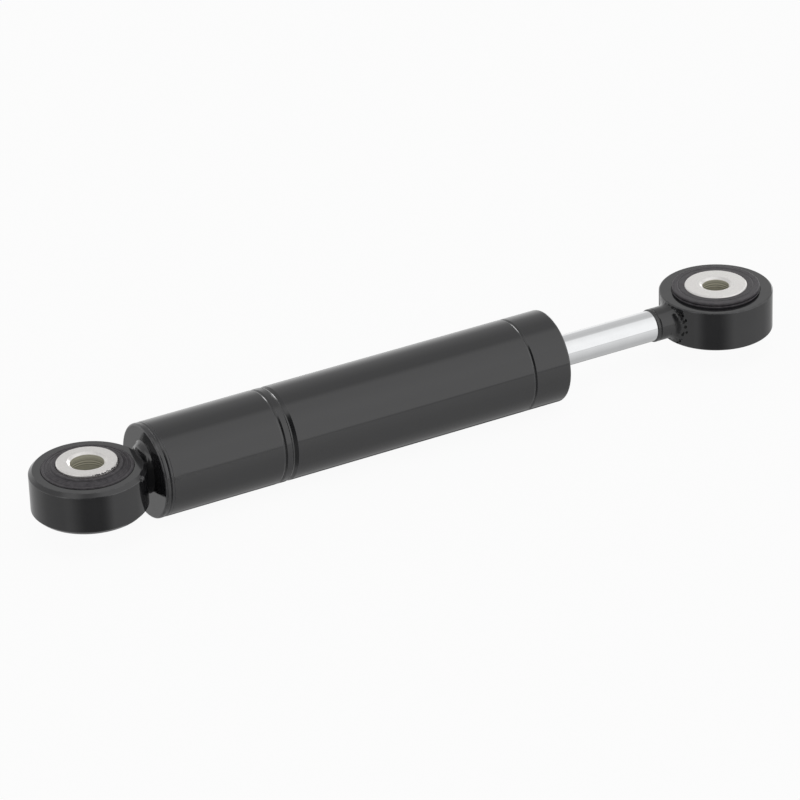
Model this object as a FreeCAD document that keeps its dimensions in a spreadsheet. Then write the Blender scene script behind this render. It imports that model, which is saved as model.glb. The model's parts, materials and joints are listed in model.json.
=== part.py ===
import FreeCAD, Part
import math
import operator
import os

import Sketcher

# A hydraulic belt tensioner damper with a rubber-bushed eye at each end.
# The origin is the centre of the body eye's bore. +X runs along the damper to
# the rod eye and +Z along the bores. All sizes are millimetres. The rod stands
# where the photograph shows it, nearly drawn out.

SIZES = {
    # Body eye: forged ring, rubber and clamping sleeve
    "body_ring_diameter": 36.0,
    "body_ring_wall": 3.8,
    "body_ring_height": 13.9,
    "body_ring_chamfer": 1.2,
    "body_sleeve_diameter": 19.0,
    "body_sleeve_bore": 10.4,
    "body_sleeve_length": 18.2,
    "body_rubber_rim_rise": 0.4,
    "body_rubber_hub_drop": 0.7,
    "body_rubber_bead_width": 1.3,
    "body_rubber_bead_step": 0.5,
    # Rod eye: the same three pieces in other sizes
    "rod_ring_diameter": 36.7,
    "rod_ring_wall": 4.05,
    "rod_ring_height": 13.3,
    "rod_ring_chamfer": 0.3,
    "rod_sleeve_bore": 8.6,
    "rod_sleeve_length": 16.8,
    "rod_rubber_thickness": 4.12,
    "rod_rubber_pad_rise": 1.5,
    "rod_rubber_pad_edge": 0.5,
    "ring_bore_chamfer": 0.4,
    "sleeve_bore_chamfer": 0.7,
    "sleeve_edge_chamfer": 0.4,
    # Base cap, its weld to the body eye and its seam with the tube
    "eye_gap": 0.75,
    "boss_diameter": 12.4,
    "boss_weld_leg": 2.2,
    "base_flange_thickness": 1.7,
    "base_edge_radius": 1.1,
    "base_seam_width": 1.15,
    "base_seam_depth": 0.55,
    "base_seam_edge": 0.2,
    "base_plug_length": 6.5,
    "base_plug_wall": 3.0,
    "base_plug_chamfer": 0.8,
    "base_floor": 4.0,
    # Tube with its rolled grooves and rolled-over end
    "tube_diameter": 30.0,
    "tube_wall": 2.0,
    "tube_length": 140.05,
    "tube_edge": 0.3,
    "valve_groove_offset": 38.1,
    "valve_groove_pitch": 3.5,
    "head_groove_offset": 13.0,
    "first_groove_width": 1.1,
    "second_groove_width": 1.7,
    "head_groove_width": 1.0,
    "groove_slope": 0.4,
    "groove_depth": 0.45,
    "lip_thickness": 1.6,
    "lip_radius": 0.7,
    "lip_reach": 3.0,
    # Rod head: wiper, washer, seal and guide, from outside to inside
    "support_washer_thickness": 2.0,
    "wiper_width": 2.4,
    "wiper_seat_depth": 1.2,
    "wiper_lip_height": 0.9,
    "seal_thickness": 5.5,
    "seal_wall": 2.6,
    "seal_web": 1.8,
    "seal_lip": 0.9,
    "seal_lip_setback": 0.8,
    "seal_lip_relief": 0.35,
    "garter_wire": 1.3,
    "guide_length": 14.0,
    "guide_stop": 1.5,
    "guide_recess_depth": 6.0,
    "guide_rim_wall": 0.8,
    "guide_hub_wall": 2.4,
    "guide_ring_inset": 3.4,
    "bush_wall": 1.0,
    "o_ring_section": 1.8,
    "o_ring_squeeze": 0.2,
    "o_ring_side_gap": 0.2,
    # Rod and neck of the rod eye
    "rod_diameter": 10.0,
    "rod_exposed": 38.5,
    "rod_thread_diameter": 7.0,
    "rod_thread_spare": 1.4,
    "rod_edge": 0.5,
    "neck_step": 0.4,
    "neck_length": 6.8,
    "neck_floor": 1.3,
    "neck_chamfer": 0.35,
    "neck_weld_leg": 2.8,
    "neck_weld_rise": 1.7,
    # Rebound stop on the rod
    "rebound_gap": 3.2,
    "rebound_stop_length": 4.0,
    "rebound_stop_wall": 4.0,
    "rebound_clip_width": 1.2,
    "rebound_clip_reach": 1.5,
    "rebound_clip_depth": 0.8,
    "rebound_clip_opening": 3.0,
    "clip_land": 1.6,
    # Piston and its valve discs
    "piston_length": 10.0,
    "piston_gap": 0.3,
    "piston_chamfer": 0.6,
    "band_width": 5.0,
    "band_thickness": 1.2,
    "band_float": 0.1,
    "shim_thickness": 0.3,
    "clamp_shim_diameter": 10.2,
    "shim_margin": 0.6,
    "inner_port_gap": 0.5,
    "inner_port_diameter": 2.2,
    "outer_port_wall": 0.5,
    "outer_port_diameter": 2.4,
    "port_count": 6,
    "backing_washer_thickness": 1.2,
    "piston_nut_width": 11.0,
    "piston_nut_height": 5.0,
    # Base valve in the tube's double groove
    "valve_body_lead": 4.7,
    "valve_body_length": 12.0,
    "valve_ring_inset": 1.1,
    "stud_diameter": 5.0,
    "stud_head_diameter": 8.6,
    "stud_head_height": 2.2,
    "stud_spare": 0.5,
    "intake_plate_thickness": 1.0,
    "intake_hub_diameter": 8.6,
    "intake_hub_length": 3.2,
    "intake_flange_diameter": 12.6,
    "intake_flange_thickness": 0.8,
    "intake_spring_thickness": 0.35,
    "intake_spring_foot": 17.0,
    "stud_nut_width": 8.0,
    "stud_nut_height": 2.4,
    # Floating piston that parts the oil from the gas
    "float_gap": 1.8,
    "float_length": 10.5,
    "float_wall": 3.4,
    "float_floor": 4.5,
    "float_chamfer": 0.6,
    "float_ring_inset": 4.2,
    # Clearances
    "seat_clearance": 0.05,
    "running_clearance": 0.03,
    "seat_film": 0.02,
}

OPERATIONS = {"+": operator.add, "-": operator.sub, "*": operator.mul, "/": operator.truediv}
SHIMS_IN_STACK = 3
HEXAGON = 6


class Length:
    """A length and the expression over the sheet's cells that gives it."""

    def __init__(self, value, text):
        self.value = value
        self.text = text

    def __add__(self, other):
        return combine(self, "+", other)

    def __sub__(self, other):
        return combine(self, "-", other)

    def __mul__(self, other):
        return combine(self, "*", other)

    def __truediv__(self, other):
        return combine(self, "/", other)

    def __neg__(self):
        return combine(0, "-", self)


def as_length(number):
    """Give a plain number the form of a Length."""
    if isinstance(number, Length):
        return number
    return Length(float(number), repr(float(number)))


def combine(left, sign, right):
    """Join two lengths, or a length and a number, by one arithmetic sign."""
    left = as_length(left)
    right = as_length(right)
    value = OPERATIONS[sign](left.value, right.value)
    return Length(value, f"({left.text} {sign} {right.text})")


class Arc:
    """A corner reached by an arc whose centre lies left (1) or right (-1) of the way there."""

    def __init__(self, along, across, radius, side):
        self.point = (as_length(along), as_length(across))
        self.radius = as_length(radius)
        self.side = side


doc = FreeCAD.newDocument("belt_tensioner_damper")
sheet = doc.addObject("Spreadsheet::Sheet", "Sizes")
size = {}
for row, (alias, number) in enumerate(SIZES.items(), start=1):
    sheet.set(f"A{row}", alias)
    sheet.set(f"B{row}", str(number))
    sheet.setAlias(f"B{row}", alias)
    size[alias] = Length(float(number), f"Sizes.{alias}")
doc.recompute()

# Radii that several pieces share
seat = size["seat_clearance"]
running = size["running_clearance"]
tube_radius = size["tube_diameter"] / 2
bore_radius = tube_radius - size["tube_wall"]
seated_radius = bore_radius - seat
rod_radius = size["rod_diameter"] / 2
rod_sliding_radius = rod_radius + running
thread_radius = size["rod_thread_diameter"] / 2
thread_hole_radius = thread_radius + seat
body_ring_radius = size["body_ring_diameter"] / 2
rod_ring_radius = size["rod_ring_diameter"] / 2
body_rubber_radius = body_ring_radius - size["body_ring_wall"] - seat
rod_rubber_radius = rod_ring_radius - size["rod_ring_wall"] - seat
body_sleeve_radius = size["body_sleeve_diameter"] / 2
rod_sleeve_radius = rod_rubber_radius - size["rod_rubber_thickness"] - running
boss_radius = size["boss_diameter"] / 2
neck_radius = rod_radius + size["neck_step"]
guide_bush_radius = rod_sliding_radius + size["bush_wall"]
shim_stack_height = size["shim_thickness"] * SHIMS_IN_STACK
ring_groove_height = size["o_ring_section"] - size["o_ring_squeeze"] + seat

# Ports and the discs that cover them, shared by the piston and the base valve
inner_port_radius = size["inner_port_diameter"] / 2
outer_port_radius = size["outer_port_diameter"] / 2
clamp_radius = size["clamp_shim_diameter"] / 2
inner_port_offset = clamp_radius + size["inner_port_gap"] + inner_port_radius
outer_port_offset = seated_radius - ring_groove_height - size["outer_port_wall"] - outer_port_radius
inner_cover_radius = inner_port_offset + inner_port_radius + size["shim_margin"]
outer_cover_radius = outer_port_offset + outer_port_radius + size["shim_margin"]
middle_cover_radius = (inner_cover_radius + clamp_radius) / 2
window_radius = inner_port_radius + size["shim_margin"] / 2

# Stations along the damper, from the body eye to the rod eye
base_face_x = body_ring_radius + size["eye_gap"]
base_seam_x = base_face_x + size["base_flange_thickness"]
tube_start_x = base_seam_x + size["base_seam_width"]
tube_end_x = tube_start_x + size["tube_length"]
first_groove = size["valve_groove_offset"]
second_groove = first_groove + size["valve_groove_pitch"]
head_groove = size["tube_length"] - size["head_groove_offset"]
neck_x = tube_end_x + size["rod_exposed"]
rod_ring_wall_x = neck_x + size["neck_length"]
rod_eye_x = rod_ring_wall_x + rod_ring_radius

# Rod head, from the rolled lip inwards
support_washer_x = tube_end_x - size["lip_thickness"] - size["support_washer_thickness"]
rod_seal_x = support_washer_x - size["seal_thickness"]
guide_x = rod_seal_x - size["guide_length"]

# Rebound stop and piston stack, from the guide inwards
rebound_stop_x = guide_x - size["rebound_gap"] - size["rebound_stop_length"]
rebound_clip_x = rebound_stop_x - size["rebound_clip_width"]
rod_shoulder_x = rebound_clip_x - size["clip_land"]
rod_side_washer_x = rod_shoulder_x - size["backing_washer_thickness"]
rod_side_shims_x = rod_side_washer_x - shim_stack_height
piston_x = rod_side_shims_x - size["piston_length"]
nut_side_shims_x = piston_x - shim_stack_height
nut_side_washer_x = nut_side_shims_x - size["backing_washer_thickness"]
piston_nut_x = nut_side_washer_x - size["piston_nut_height"]
rod_end_x = piston_nut_x - size["rod_thread_spare"]

# Base valve and floating piston
valve_body_x = tube_start_x + first_groove - size["valve_body_lead"]
valve_face_x = valve_body_x + size["valve_body_length"]
valve_shims_x = valve_body_x - shim_stack_height
stud_head_x = valve_shims_x - size["stud_head_height"]
intake_flange_x = valve_face_x + size["intake_hub_length"]
stud_nut_x = intake_flange_x + size["intake_flange_thickness"]
float_x = stud_head_x - size["float_gap"] - size["float_length"]

sub_parts = []


def origin_plane(body, role):
    """Find one of a body's own origin planes."""
    return next(plane for plane in body.Origin.OriginFeatures if plane.Role == role)


def new_sketch(body, name, role):
    """Start a sketch on one of the body's origin planes."""
    sketch = body.newObject("Sketcher::SketchObject", name)
    sketch.AttachmentSupport = [(origin_plane(body, role), "")]
    sketch.MapMode = "FlatFace"
    return sketch


def bind(sketch, kind, geometry, length):
    """Add a dimension to a sketch and tie it to the sheet."""
    index = sketch.addConstraint(Sketcher.Constraint(kind, *geometry, length.value))
    sketch.setExpression(f"Constraints[{index}]", length.text)


def pin_point(sketch, geometry, end, point):
    """Fix one end of a line or arc at its distances from the sketch's origin."""
    along, across = point
    bind(sketch, "DistanceX", (-1, 1, geometry, end), along)
    if across.value == 0:
        sketch.addConstraint(Sketcher.Constraint("PointOnObject", geometry, end, -1))
    else:
        bind(sketch, "DistanceY", (-1, 1, geometry, end), across)


def arc_middle(start, end, radius, side):
    """Find the point halfway along the shorter arc between two points."""
    chord = end - start
    left = FreeCAD.Vector(-chord.y, chord.x, 0).normalize()
    middle = (start + end) / 2
    centre_distance = math.sqrt(max(radius ** 2 - (chord.Length / 2) ** 2, 0))
    return middle + left * side * (centre_distance - radius)


def draw_outline(sketch, corners):
    """Draw a closed outline of lines and arcs, with every corner tied to the sheet."""
    arcs = [corner if isinstance(corner, Arc) else None for corner in corners]
    points = [arc.point if arc else tuple(map(as_length, corner)) for arc, corner in zip(arcs, corners)]
    vectors = [FreeCAD.Vector(along.value, across.value, 0) for along, across in points]
    ends = []
    for index, start in enumerate(vectors):
        following = (index + 1) % len(vectors)
        arc = arcs[following]
        if arc is None:
            line = sketch.addGeometry(Part.LineSegment(start, vectors[following]), False)
            ends.append((line, 1, 2))
            continue
        middle = arc_middle(start, vectors[following], arc.radius.value, arc.side)
        curve = sketch.addGeometry(Part.Arc(start, middle, vectors[following]), False)
        bind(sketch, "Radius", (curve,), arc.radius)
        starts_here = sketch.getPoint(curve, 1).distanceToPoint(start) < arc.radius.value / 100
        ends.append((curve, 1, 2) if starts_here else (curve, 2, 1))
    for index, (geometry, start_end, _) in enumerate(ends):
        before, _, before_end = ends[index - 1]
        sketch.addConstraint(Sketcher.Constraint("Coincident", before, before_end, geometry, start_end))
        pin_point(sketch, geometry, start_end, points[index])


def new_body(label, station, listed=True):
    """Start a sub-part and place it along the damper."""
    body = doc.addObject("PartDesign::Body", label)
    body.Label = label
    body.setExpression("Placement.Base.x", as_length(station).text)
    if listed:
        sub_parts.append(body)
    return body


def turned(label, station, corners, upright=False, listed=True):
    """Turn an outline about the damper's axis, or about the upright axis of an eye."""
    body = new_body(label, station, listed)
    sketch = new_sketch(body, f"{label}_outline", "XZ_Plane" if upright else "XY_Plane")
    draw_outline(sketch, corners)
    revolution = body.newObject("PartDesign::Revolution", f"{label}_turned")
    revolution.Profile = sketch
    revolution.ReferenceAxis = (sketch, ["V_Axis" if upright else "H_Axis"])
    revolution.Angle = 360
    doc.recompute()
    return body


def require_cut(body, volume_before):
    """Stop if the last feature of a body removed nothing."""
    doc.recompute()
    if body.Shape.Volume >= volume_before:
        raise RuntimeError(f"{body.Label}: a cut removed nothing")


def saddle(body, centre, radius):
    """Cut the end of a piece to the round wall of the ring that it meets."""
    volume = body.Shape.Volume
    sketch = new_sketch(body, f"{body.Label}_saddle", "XY_Plane")
    circle = Part.Circle(FreeCAD.Vector(centre.value, 0, 0), FreeCAD.Vector(0, 0, 1), radius.value)
    index = sketch.addGeometry(circle, False)
    bind(sketch, "Radius", (index,), radius)
    pin_point(sketch, index, 3, (centre, as_length(0)))
    pocket = body.newObject("PartDesign::Pocket", f"{body.Label}_saddle_cut")
    pocket.Profile = sketch
    pocket.SideType = "Symmetric"
    pocket.Type = "ThroughAll"
    require_cut(body, volume)


def half_pitch(function):
    """Give the sine or the cosine of half the angle between two neighbouring ports."""
    ports = size["port_count"]
    return Length(function(math.pi / ports.value), f"{function.__name__}(180 / {ports.text})")


def hole_ring(body, name, offset, radius, between=False):
    """Bore a ring of ports along the damper's axis, in line with the inner ports or between them."""
    volume = body.Shape.Volume
    sketch = new_sketch(body, f"{body.Label}_{name}", "YZ_Plane")
    along = offset * half_pitch(math.cos) if between else offset
    across = offset * half_pitch(math.sin) if between else as_length(0)
    centre = FreeCAD.Vector(along.value, across.value, 0)
    index = sketch.addGeometry(Part.Circle(centre, FreeCAD.Vector(0, 0, 1), radius.value), False)
    bind(sketch, "Radius", (index,), radius)
    pin_point(sketch, index, 3, (along, across))
    pocket = body.newObject("PartDesign::Pocket", f"{body.Label}_{name}_bore")
    pocket.Profile = sketch
    pocket.Type = "ThroughAll"
    pocket.Reversed = True
    require_cut(body, volume)
    pattern = body.newObject("PartDesign::PolarPattern", f"{body.Label}_{name}_ring")
    pattern.Originals = [pocket]
    pattern.Axis = (sketch, ["N_Axis"])
    pattern.Angle = 360
    pattern.setExpression("Occurrences", size["port_count"].text)
    body.Tip = pattern
    doc.recompute()


def mirrored(upper):
    """Complete an outline that is the same above and below the eye's middle plane."""
    lower = [(across, -height) for across, height in reversed(upper)]
    return [*lower, *upper]


def rolled_groove(centre, width, surface, widening=0):
    """Give the corners of a rolled groove with sloping sides, from left to right on an outer surface."""
    half_mouth = (width + widening) / 2
    half_floor = half_mouth - size["groove_slope"]
    floor = surface - size["groove_depth"]
    return [
        (centre - half_mouth, surface),
        (centre - half_floor, floor),
        (centre + half_floor, floor),
        (centre + half_mouth, surface),
    ]


def rolled_bead(centre, width, surface):
    """Give the corners of the bead that a groove raises inside the tube, from right to left."""
    return list(reversed(rolled_groove(centre, width, surface)))


def square_groove(start, width, surface, depth):
    """Give the four corners of a square groove in an outer surface, from left to right."""
    return [
        (start, surface),
        (start, surface - depth),
        (start + width, surface - depth),
        (start + width, surface),
    ]


def regular_corners(radius, height=0):
    """Give the corners of a regular hexagon, standing on a flat side at a height above the axis."""
    corners = []
    for corner in range(HEXAGON):
        angle = math.pi / HEXAGON * (2 * corner + 1)
        corners.append((radius * math.cos(angle), radius * math.sin(angle) + height))
    return corners


def ring(label, station, length, inner, outer, listed=True):
    """Turn a plain ring."""
    corners = [(0, inner), (0, outer), (length, outer), (length, inner)]
    return turned(label, station, corners, listed=listed)


# Body and rod eyes

def eye_ring(label, station, prefix):
    """Turn the forged ring of an eye, chamfered outside and at its bore."""
    outer = size[f"{prefix}_ring_diameter"] / 2
    inner = outer - size[f"{prefix}_ring_wall"]
    top = size[f"{prefix}_ring_height"] / 2
    chamfer = size[f"{prefix}_ring_chamfer"]
    inner_chamfer = size["ring_bore_chamfer"]
    upper = [
        (outer, top - chamfer),
        (outer - chamfer, top),
        (inner + inner_chamfer, top),
        (inner, top - inner_chamfer),
    ]
    turned(label, station, mirrored(upper), upright=True)


def bush_sleeve(label, station, prefix, outer):
    """Turn the steel sleeve that the bolt clamps, chamfered at both ends of its bore."""
    inner = size[f"{prefix}_sleeve_bore"] / 2
    top = size[f"{prefix}_sleeve_length"] / 2
    edge = size["sleeve_edge_chamfer"]
    mouth = size["sleeve_bore_chamfer"]
    upper = [(outer, top - edge), (outer - edge, top), (inner + mouth, top), (inner, top - mouth)]
    turned(label, station, mirrored(upper), upright=True)


def body_rubber():
    """Turn the body eye's rubber: sloping faces with a moulded bead round the sleeve."""
    outer = body_rubber_radius
    inner = body_sleeve_radius + running
    rim = size["body_ring_height"] / 2 + size["body_rubber_rim_rise"]
    hub = size["body_sleeve_length"] / 2 - size["body_rubber_hub_drop"]
    bead = inner + size["body_rubber_bead_width"]
    upper = [(outer, rim), (bead, hub - size["body_rubber_bead_step"]), (bead, hub), (inner, hub)]
    turned("body_bush_rubber", 0, mirrored(upper), upright=True)


def rod_rubber():
    """Turn the rod eye's rubber: a flat pad that stands above the ring on both sides."""
    outer = rod_rubber_radius
    inner = rod_sleeve_radius + running
    pad = size["rod_ring_height"] / 2 + size["rod_rubber_pad_rise"]
    edge = size["rod_rubber_pad_edge"]
    upper = [(outer, pad - edge), (outer - edge, pad), (inner, pad)]
    turned("rod_bush_rubber", rod_eye_x, mirrored(upper), upright=True)


def rod_neck():
    """Turn the neck that joins the rod to its eye, bored for the rod's spigot."""
    length = size["neck_length"]
    reach = length + neck_radius
    depth = length - size["neck_floor"]
    chamfer = size["neck_chamfer"]
    body = turned("rod_eye_neck", neck_x, [
        (0, thread_hole_radius),
        (0, neck_radius - chamfer),
        (chamfer, neck_radius),
        (reach, neck_radius),
        (reach, 0),
        (depth, 0),
        (depth, thread_hole_radius),
    ])
    saddle(body, length + rod_ring_radius, rod_ring_radius)


def rod_eye_weld():
    """Turn the fillet weld round the neck and cut it to the ring."""
    leg = size["neck_weld_leg"]
    inner = neck_radius + seat
    outer = inner + size["neck_weld_rise"]
    reach = leg * 2
    body = turned("rod_eye_weld", rod_ring_wall_x - leg, [
        (0, inner),
        (leg, outer),
        (reach, outer),
        (reach, inner),
    ])
    saddle(body, leg + rod_ring_radius, rod_ring_radius)


# Base cap and tube

def base_cap():
    """Turn the cap that closes the tube: welding boss, flange and hollow plug."""
    reach = size["eye_gap"] + boss_radius / 2
    edge = size["base_edge_radius"]
    flange = size["base_flange_thickness"]
    plug_end = flange + size["base_plug_length"]
    chamfer = size["base_plug_chamfer"]
    hollow = seated_radius - size["base_plug_wall"]
    floor = size["base_floor"]
    body = turned("base_cap", base_face_x, [
        (-reach, 0),
        (-reach, boss_radius),
        (0, boss_radius),
        (0, tube_radius - edge),
        Arc(edge, tube_radius, edge, -1),
        (flange, tube_radius),
        (flange, seated_radius),
        (plug_end - chamfer, seated_radius),
        (plug_end, seated_radius - chamfer),
        (plug_end, hollow),
        (floor, hollow),
        (floor, 0),
    ])
    saddle(body, -base_face_x, body_ring_radius)


def body_eye_weld():
    """Turn the fillet weld between the boss, the cap's face and the ring."""
    leg = size["boss_weld_leg"]
    inner = boss_radius + seat
    reach = size["eye_gap"] + leg
    body = turned("body_eye_weld", base_face_x - reach, [
        (0, inner),
        (reach - size["eye_gap"], inner + leg / 2),
        (reach, inner + leg),
        (reach, inner),
    ])
    saddle(body, reach - base_face_x, body_ring_radius)


def base_seam_weld():
    """Turn the weld that fills the seam of cap and tube, with a shallow valley outside."""
    width = size["base_seam_width"]
    edge = tube_radius - size["base_seam_edge"]
    turned("base_seam_weld", base_seam_x, [
        (0, bore_radius),
        (0, edge),
        (width / 2, tube_radius - size["base_seam_depth"]),
        (width, edge),
        (width, bore_radius),
    ])


def outer_tube():
    """Turn the tube: rolled grooves with beads inside, and an end rolled over the rod head."""
    length = size["tube_length"]
    edge = size["tube_edge"]
    lip = length - size["lip_thickness"]
    opening = bore_radius - size["lip_reach"]
    corner = size["lip_radius"]
    turned("outer_tube", tube_start_x, [
        (0, bore_radius),
        (0, tube_radius - edge),
        (edge, tube_radius),
        *rolled_groove(first_groove, size["first_groove_width"], tube_radius),
        *rolled_groove(second_groove, size["second_groove_width"], tube_radius),
        *rolled_groove(head_groove, size["head_groove_width"], tube_radius),
        (length - corner, tube_radius),
        Arc(length, tube_radius - corner, corner, -1),
        (length, opening),
        (lip, opening),
        (lip, bore_radius),
        *rolled_bead(head_groove, size["head_groove_width"], bore_radius),
        *rolled_bead(second_groove, size["second_groove_width"], bore_radius),
        *rolled_bead(first_groove, size["first_groove_width"], bore_radius),
    ])


# Rod head

def o_ring(label, station, outer):
    """Turn an O-ring of the common section, as its groove squeezes it."""
    height = size["o_ring_section"] - size["o_ring_squeeze"]
    width = size["o_ring_section"]
    corner = height / 4
    inner = outer - height
    turned(label, station, [
        (corner, inner),
        (0, inner + corner),
        (0, outer - corner),
        (corner, outer),
        (width - corner, outer),
        (width, outer - corner),
        (width, inner + corner),
        (width - corner, inner),
    ])


def o_ring_groove(start, surface):
    """Give the groove that holds an O-ring in an outer surface."""
    width = size["o_ring_section"] + size["o_ring_side_gap"] * 2
    return square_groove(start, width, surface, ring_groove_height)


def rod_guide():
    """Turn the guide: bush bore, O-ring groove, hollow inner face and groove for the tube's bead."""
    length = size["guide_length"]
    hub = guide_bush_radius + size["guide_hub_wall"]
    recess = seated_radius - ring_groove_height - size["guide_rim_wall"]
    depth = size["guide_recess_depth"]
    stop = length - size["guide_stop"]
    bush_hole = guide_bush_radius + seat
    bead = tube_start_x + head_groove - guide_x
    turned("rod_guide", guide_x, [
        (0, bush_hole),
        (0, hub),
        (depth, hub),
        (depth, recess),
        (0, recess),
        (0, seated_radius),
        *o_ring_groove(size["guide_ring_inset"], seated_radius),
        *rolled_groove(bead, size["head_groove_width"], seated_radius, seat * 2),
        (length, seated_radius),
        (length, rod_sliding_radius + size["bush_wall"] / 2),
        (stop, rod_sliding_radius + size["bush_wall"] / 2),
        (stop, bush_hole),
    ])
    o_ring("rod_guide_o_ring", guide_x + size["guide_ring_inset"] + size["o_ring_side_gap"], seated_radius)
    ring("rod_guide_bush", guide_x, stop, rod_sliding_radius, guide_bush_radius)


def rod_seal():
    """Turn the lip seal, open to the oil, and the spring ring that holds its lip to the rod."""
    length = size["seal_thickness"]
    lip = size["seal_lip"]
    setback = size["seal_lip_setback"]
    relief = rod_sliding_radius + size["seal_lip_relief"]
    web = length - size["seal_web"]
    wire = size["garter_wire"] / 2
    turned("rod_seal", rod_seal_x, [
        (0, seated_radius - size["seal_wall"]),
        (0, seated_radius),
        (length, seated_radius),
        (length, relief),
        (setback, rod_sliding_radius),
        (setback, rod_sliding_radius + lip),
        (web, relief + lip),
        (web, seated_radius - size["seal_wall"]),
    ])
    centre = relief + lip + wire
    turned("rod_seal_garter_spring", rod_seal_x + setback + wire, regular_corners(wire, centre))


def support_washer():
    """Turn the washer under the rolled lip, with the seat of the wiper in its outer face."""
    length = size["support_washer_thickness"]
    seat_start = length - size["wiper_seat_depth"]
    hole = rod_radius + size["wiper_width"] / 4
    wiper_outer = rod_sliding_radius + size["wiper_width"]
    turned("seal_support_washer", support_washer_x, [
        (0, hole),
        (0, seated_radius),
        (length, seated_radius),
        (length, wiper_outer + seat),
        (seat_start, wiper_outer + seat),
        (seat_start, hole),
    ])
    lip = size["wiper_lip_height"]
    depth = size["wiper_seat_depth"]
    turned("wiper_ring", support_washer_x + seat_start, [
        (0, rod_sliding_radius + size["wiper_width"] / 4),
        (0, wiper_outer),
        (depth, wiper_outer),
        (depth + lip, rod_sliding_radius + size["wiper_width"] / 4),
        (depth + lip, rod_sliding_radius),
    ])


# Rod and piston

def piston_rod():
    """Turn the rod: thread for the piston, clip groove, ground length and spigot in the neck."""
    shoulder = rod_shoulder_x - rod_end_x
    clip = rebound_clip_x - rod_end_x
    end = neck_x - rod_end_x
    spigot = end + size["neck_length"] - size["neck_floor"] - seat
    edge = size["rod_edge"]
    turned("piston_rod", rod_end_x, [
        (0, 0),
        (0, thread_radius - edge),
        (edge, thread_radius),
        (shoulder, thread_radius),
        (shoulder, rod_radius - edge),
        (shoulder + edge, rod_radius),
        *square_groove(clip, size["rebound_clip_width"], rod_radius, size["rebound_clip_depth"]),
        (end, rod_radius),
        (end, thread_radius),
        (spigot, thread_radius),
        (spigot, 0),
    ])


def rebound_stop():
    """Turn the stop ring that meets the guide, and the open clip that carries it."""
    length = size["rebound_stop_length"]
    outer = rod_radius + size["rebound_stop_wall"]
    edge = size["rod_edge"] * 2
    turned("rebound_stop", rebound_stop_x, [
        (0, rod_radius + seat),
        (0, outer - edge),
        (edge, outer),
        (length - edge, outer),
        (length, outer - edge),
        (length, rod_radius + seat),
    ])
    inner = rod_radius - size["rebound_clip_depth"] + seat
    clip_outer = rod_radius + size["rebound_clip_reach"]
    clip = ring("rebound_stop_clip", rebound_clip_x, size["rebound_clip_width"], inner, clip_outer)
    volume = clip.Shape.Volume
    half = size["rebound_clip_opening"] / 2
    sketch = new_sketch(clip, "rebound_stop_clip_opening", "YZ_Plane")
    draw_outline(sketch, [(-half, half), (half, half), (half, clip_outer * 2), (-half, clip_outer * 2)])
    pocket = clip.newObject("PartDesign::Pocket", "rebound_stop_clip_cut")
    pocket.Profile = sketch
    pocket.Type = "ThroughAll"
    pocket.Reversed = True
    require_cut(clip, volume)


def piston():
    """Turn the piston with its band groove and bore both rings of ports; turn its band."""
    length = size["piston_length"]
    outer = bore_radius - size["piston_gap"]
    chamfer = size["piston_chamfer"]
    band_float = size["band_float"]
    band_outer = bore_radius - running
    band_inner = band_outer - size["band_thickness"]
    groove_width = size["band_width"] + band_float * 2
    groove_start = (length - groove_width) / 2
    body = turned("piston", piston_x, [
        (0, thread_hole_radius),
        (0, outer - chamfer),
        (chamfer, outer),
        *square_groove(groove_start, groove_width, outer, outer - band_inner + band_float),
        (length - chamfer, outer),
        (length, outer - chamfer),
        (length, thread_hole_radius),
    ])
    hole_ring(body, "inner_ports", inner_port_offset, inner_port_radius)
    hole_ring(body, "outer_ports", outer_port_offset, outer_port_radius, between=True)
    band_x = piston_x + groove_start + band_float
    ring("piston_band", band_x, size["band_width"], band_inner, band_outer)


def shim_stack(label, station, inner, outer_radii, windowed=()):
    """Stack spring discs face to face; a windowed disc leaves the inner ports open."""
    discs = []
    for place, outer in enumerate(outer_radii):
        disc_x = station + size["shim_thickness"] * place
        disc = ring(f"{label}_{place + 1}", disc_x, size["shim_thickness"], inner, outer, listed=False)
        if place in windowed:
            hole_ring(disc, "windows", inner_port_offset, window_radius)
        discs.append(disc)
    stack = doc.addObject("Part::Compound", label)
    stack.Label = label
    stack.Links = discs
    sub_parts.append(stack)


def piston_discs():
    """Stack the discs on both faces of the piston, with a backing washer behind each stack."""
    nut_side = [clamp_radius, middle_cover_radius, inner_cover_radius]
    rod_side = [outer_cover_radius, clamp_radius, clamp_radius]
    shim_stack("rebound_shims", nut_side_shims_x, thread_hole_radius, nut_side)
    shim_stack("compression_shims", rod_side_shims_x, thread_hole_radius, rod_side, windowed=[0])
    thickness = size["backing_washer_thickness"]
    ring("rebound_backing_washer", nut_side_washer_x, thickness, thread_hole_radius, rod_radius)
    ring("compression_backing_washer", rod_side_washer_x, thickness, thread_hole_radius, rod_radius)


def hexagon_nut(label, station, width, height, hole):
    """Pad a hexagon nut about the damper's axis; the thread stays a plain hole."""
    body = new_body(label, station)
    outline = new_sketch(body, f"{label}_outline", "YZ_Plane")
    draw_outline(outline, regular_corners(width / math.sqrt(3)))
    bore = outline.addGeometry(Part.Circle(FreeCAD.Vector(), FreeCAD.Vector(0, 0, 1), hole.value), False)
    outline.addConstraint(Sketcher.Constraint("Coincident", bore, 3, -1, 1))
    bind(outline, "Radius", (bore,), hole)
    pad = body.newObject("PartDesign::Pad", f"{label}_pad")
    pad.Profile = outline
    pad.setExpression("Length", height.text)
    doc.recompute()


def piston_nut():
    """Fit the nut that clamps the piston and its discs on the rod."""
    width = size["piston_nut_width"]
    hexagon_nut("piston_nut", piston_nut_x, width, size["piston_nut_height"], thread_hole_radius)


# Base valve and floating piston

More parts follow.
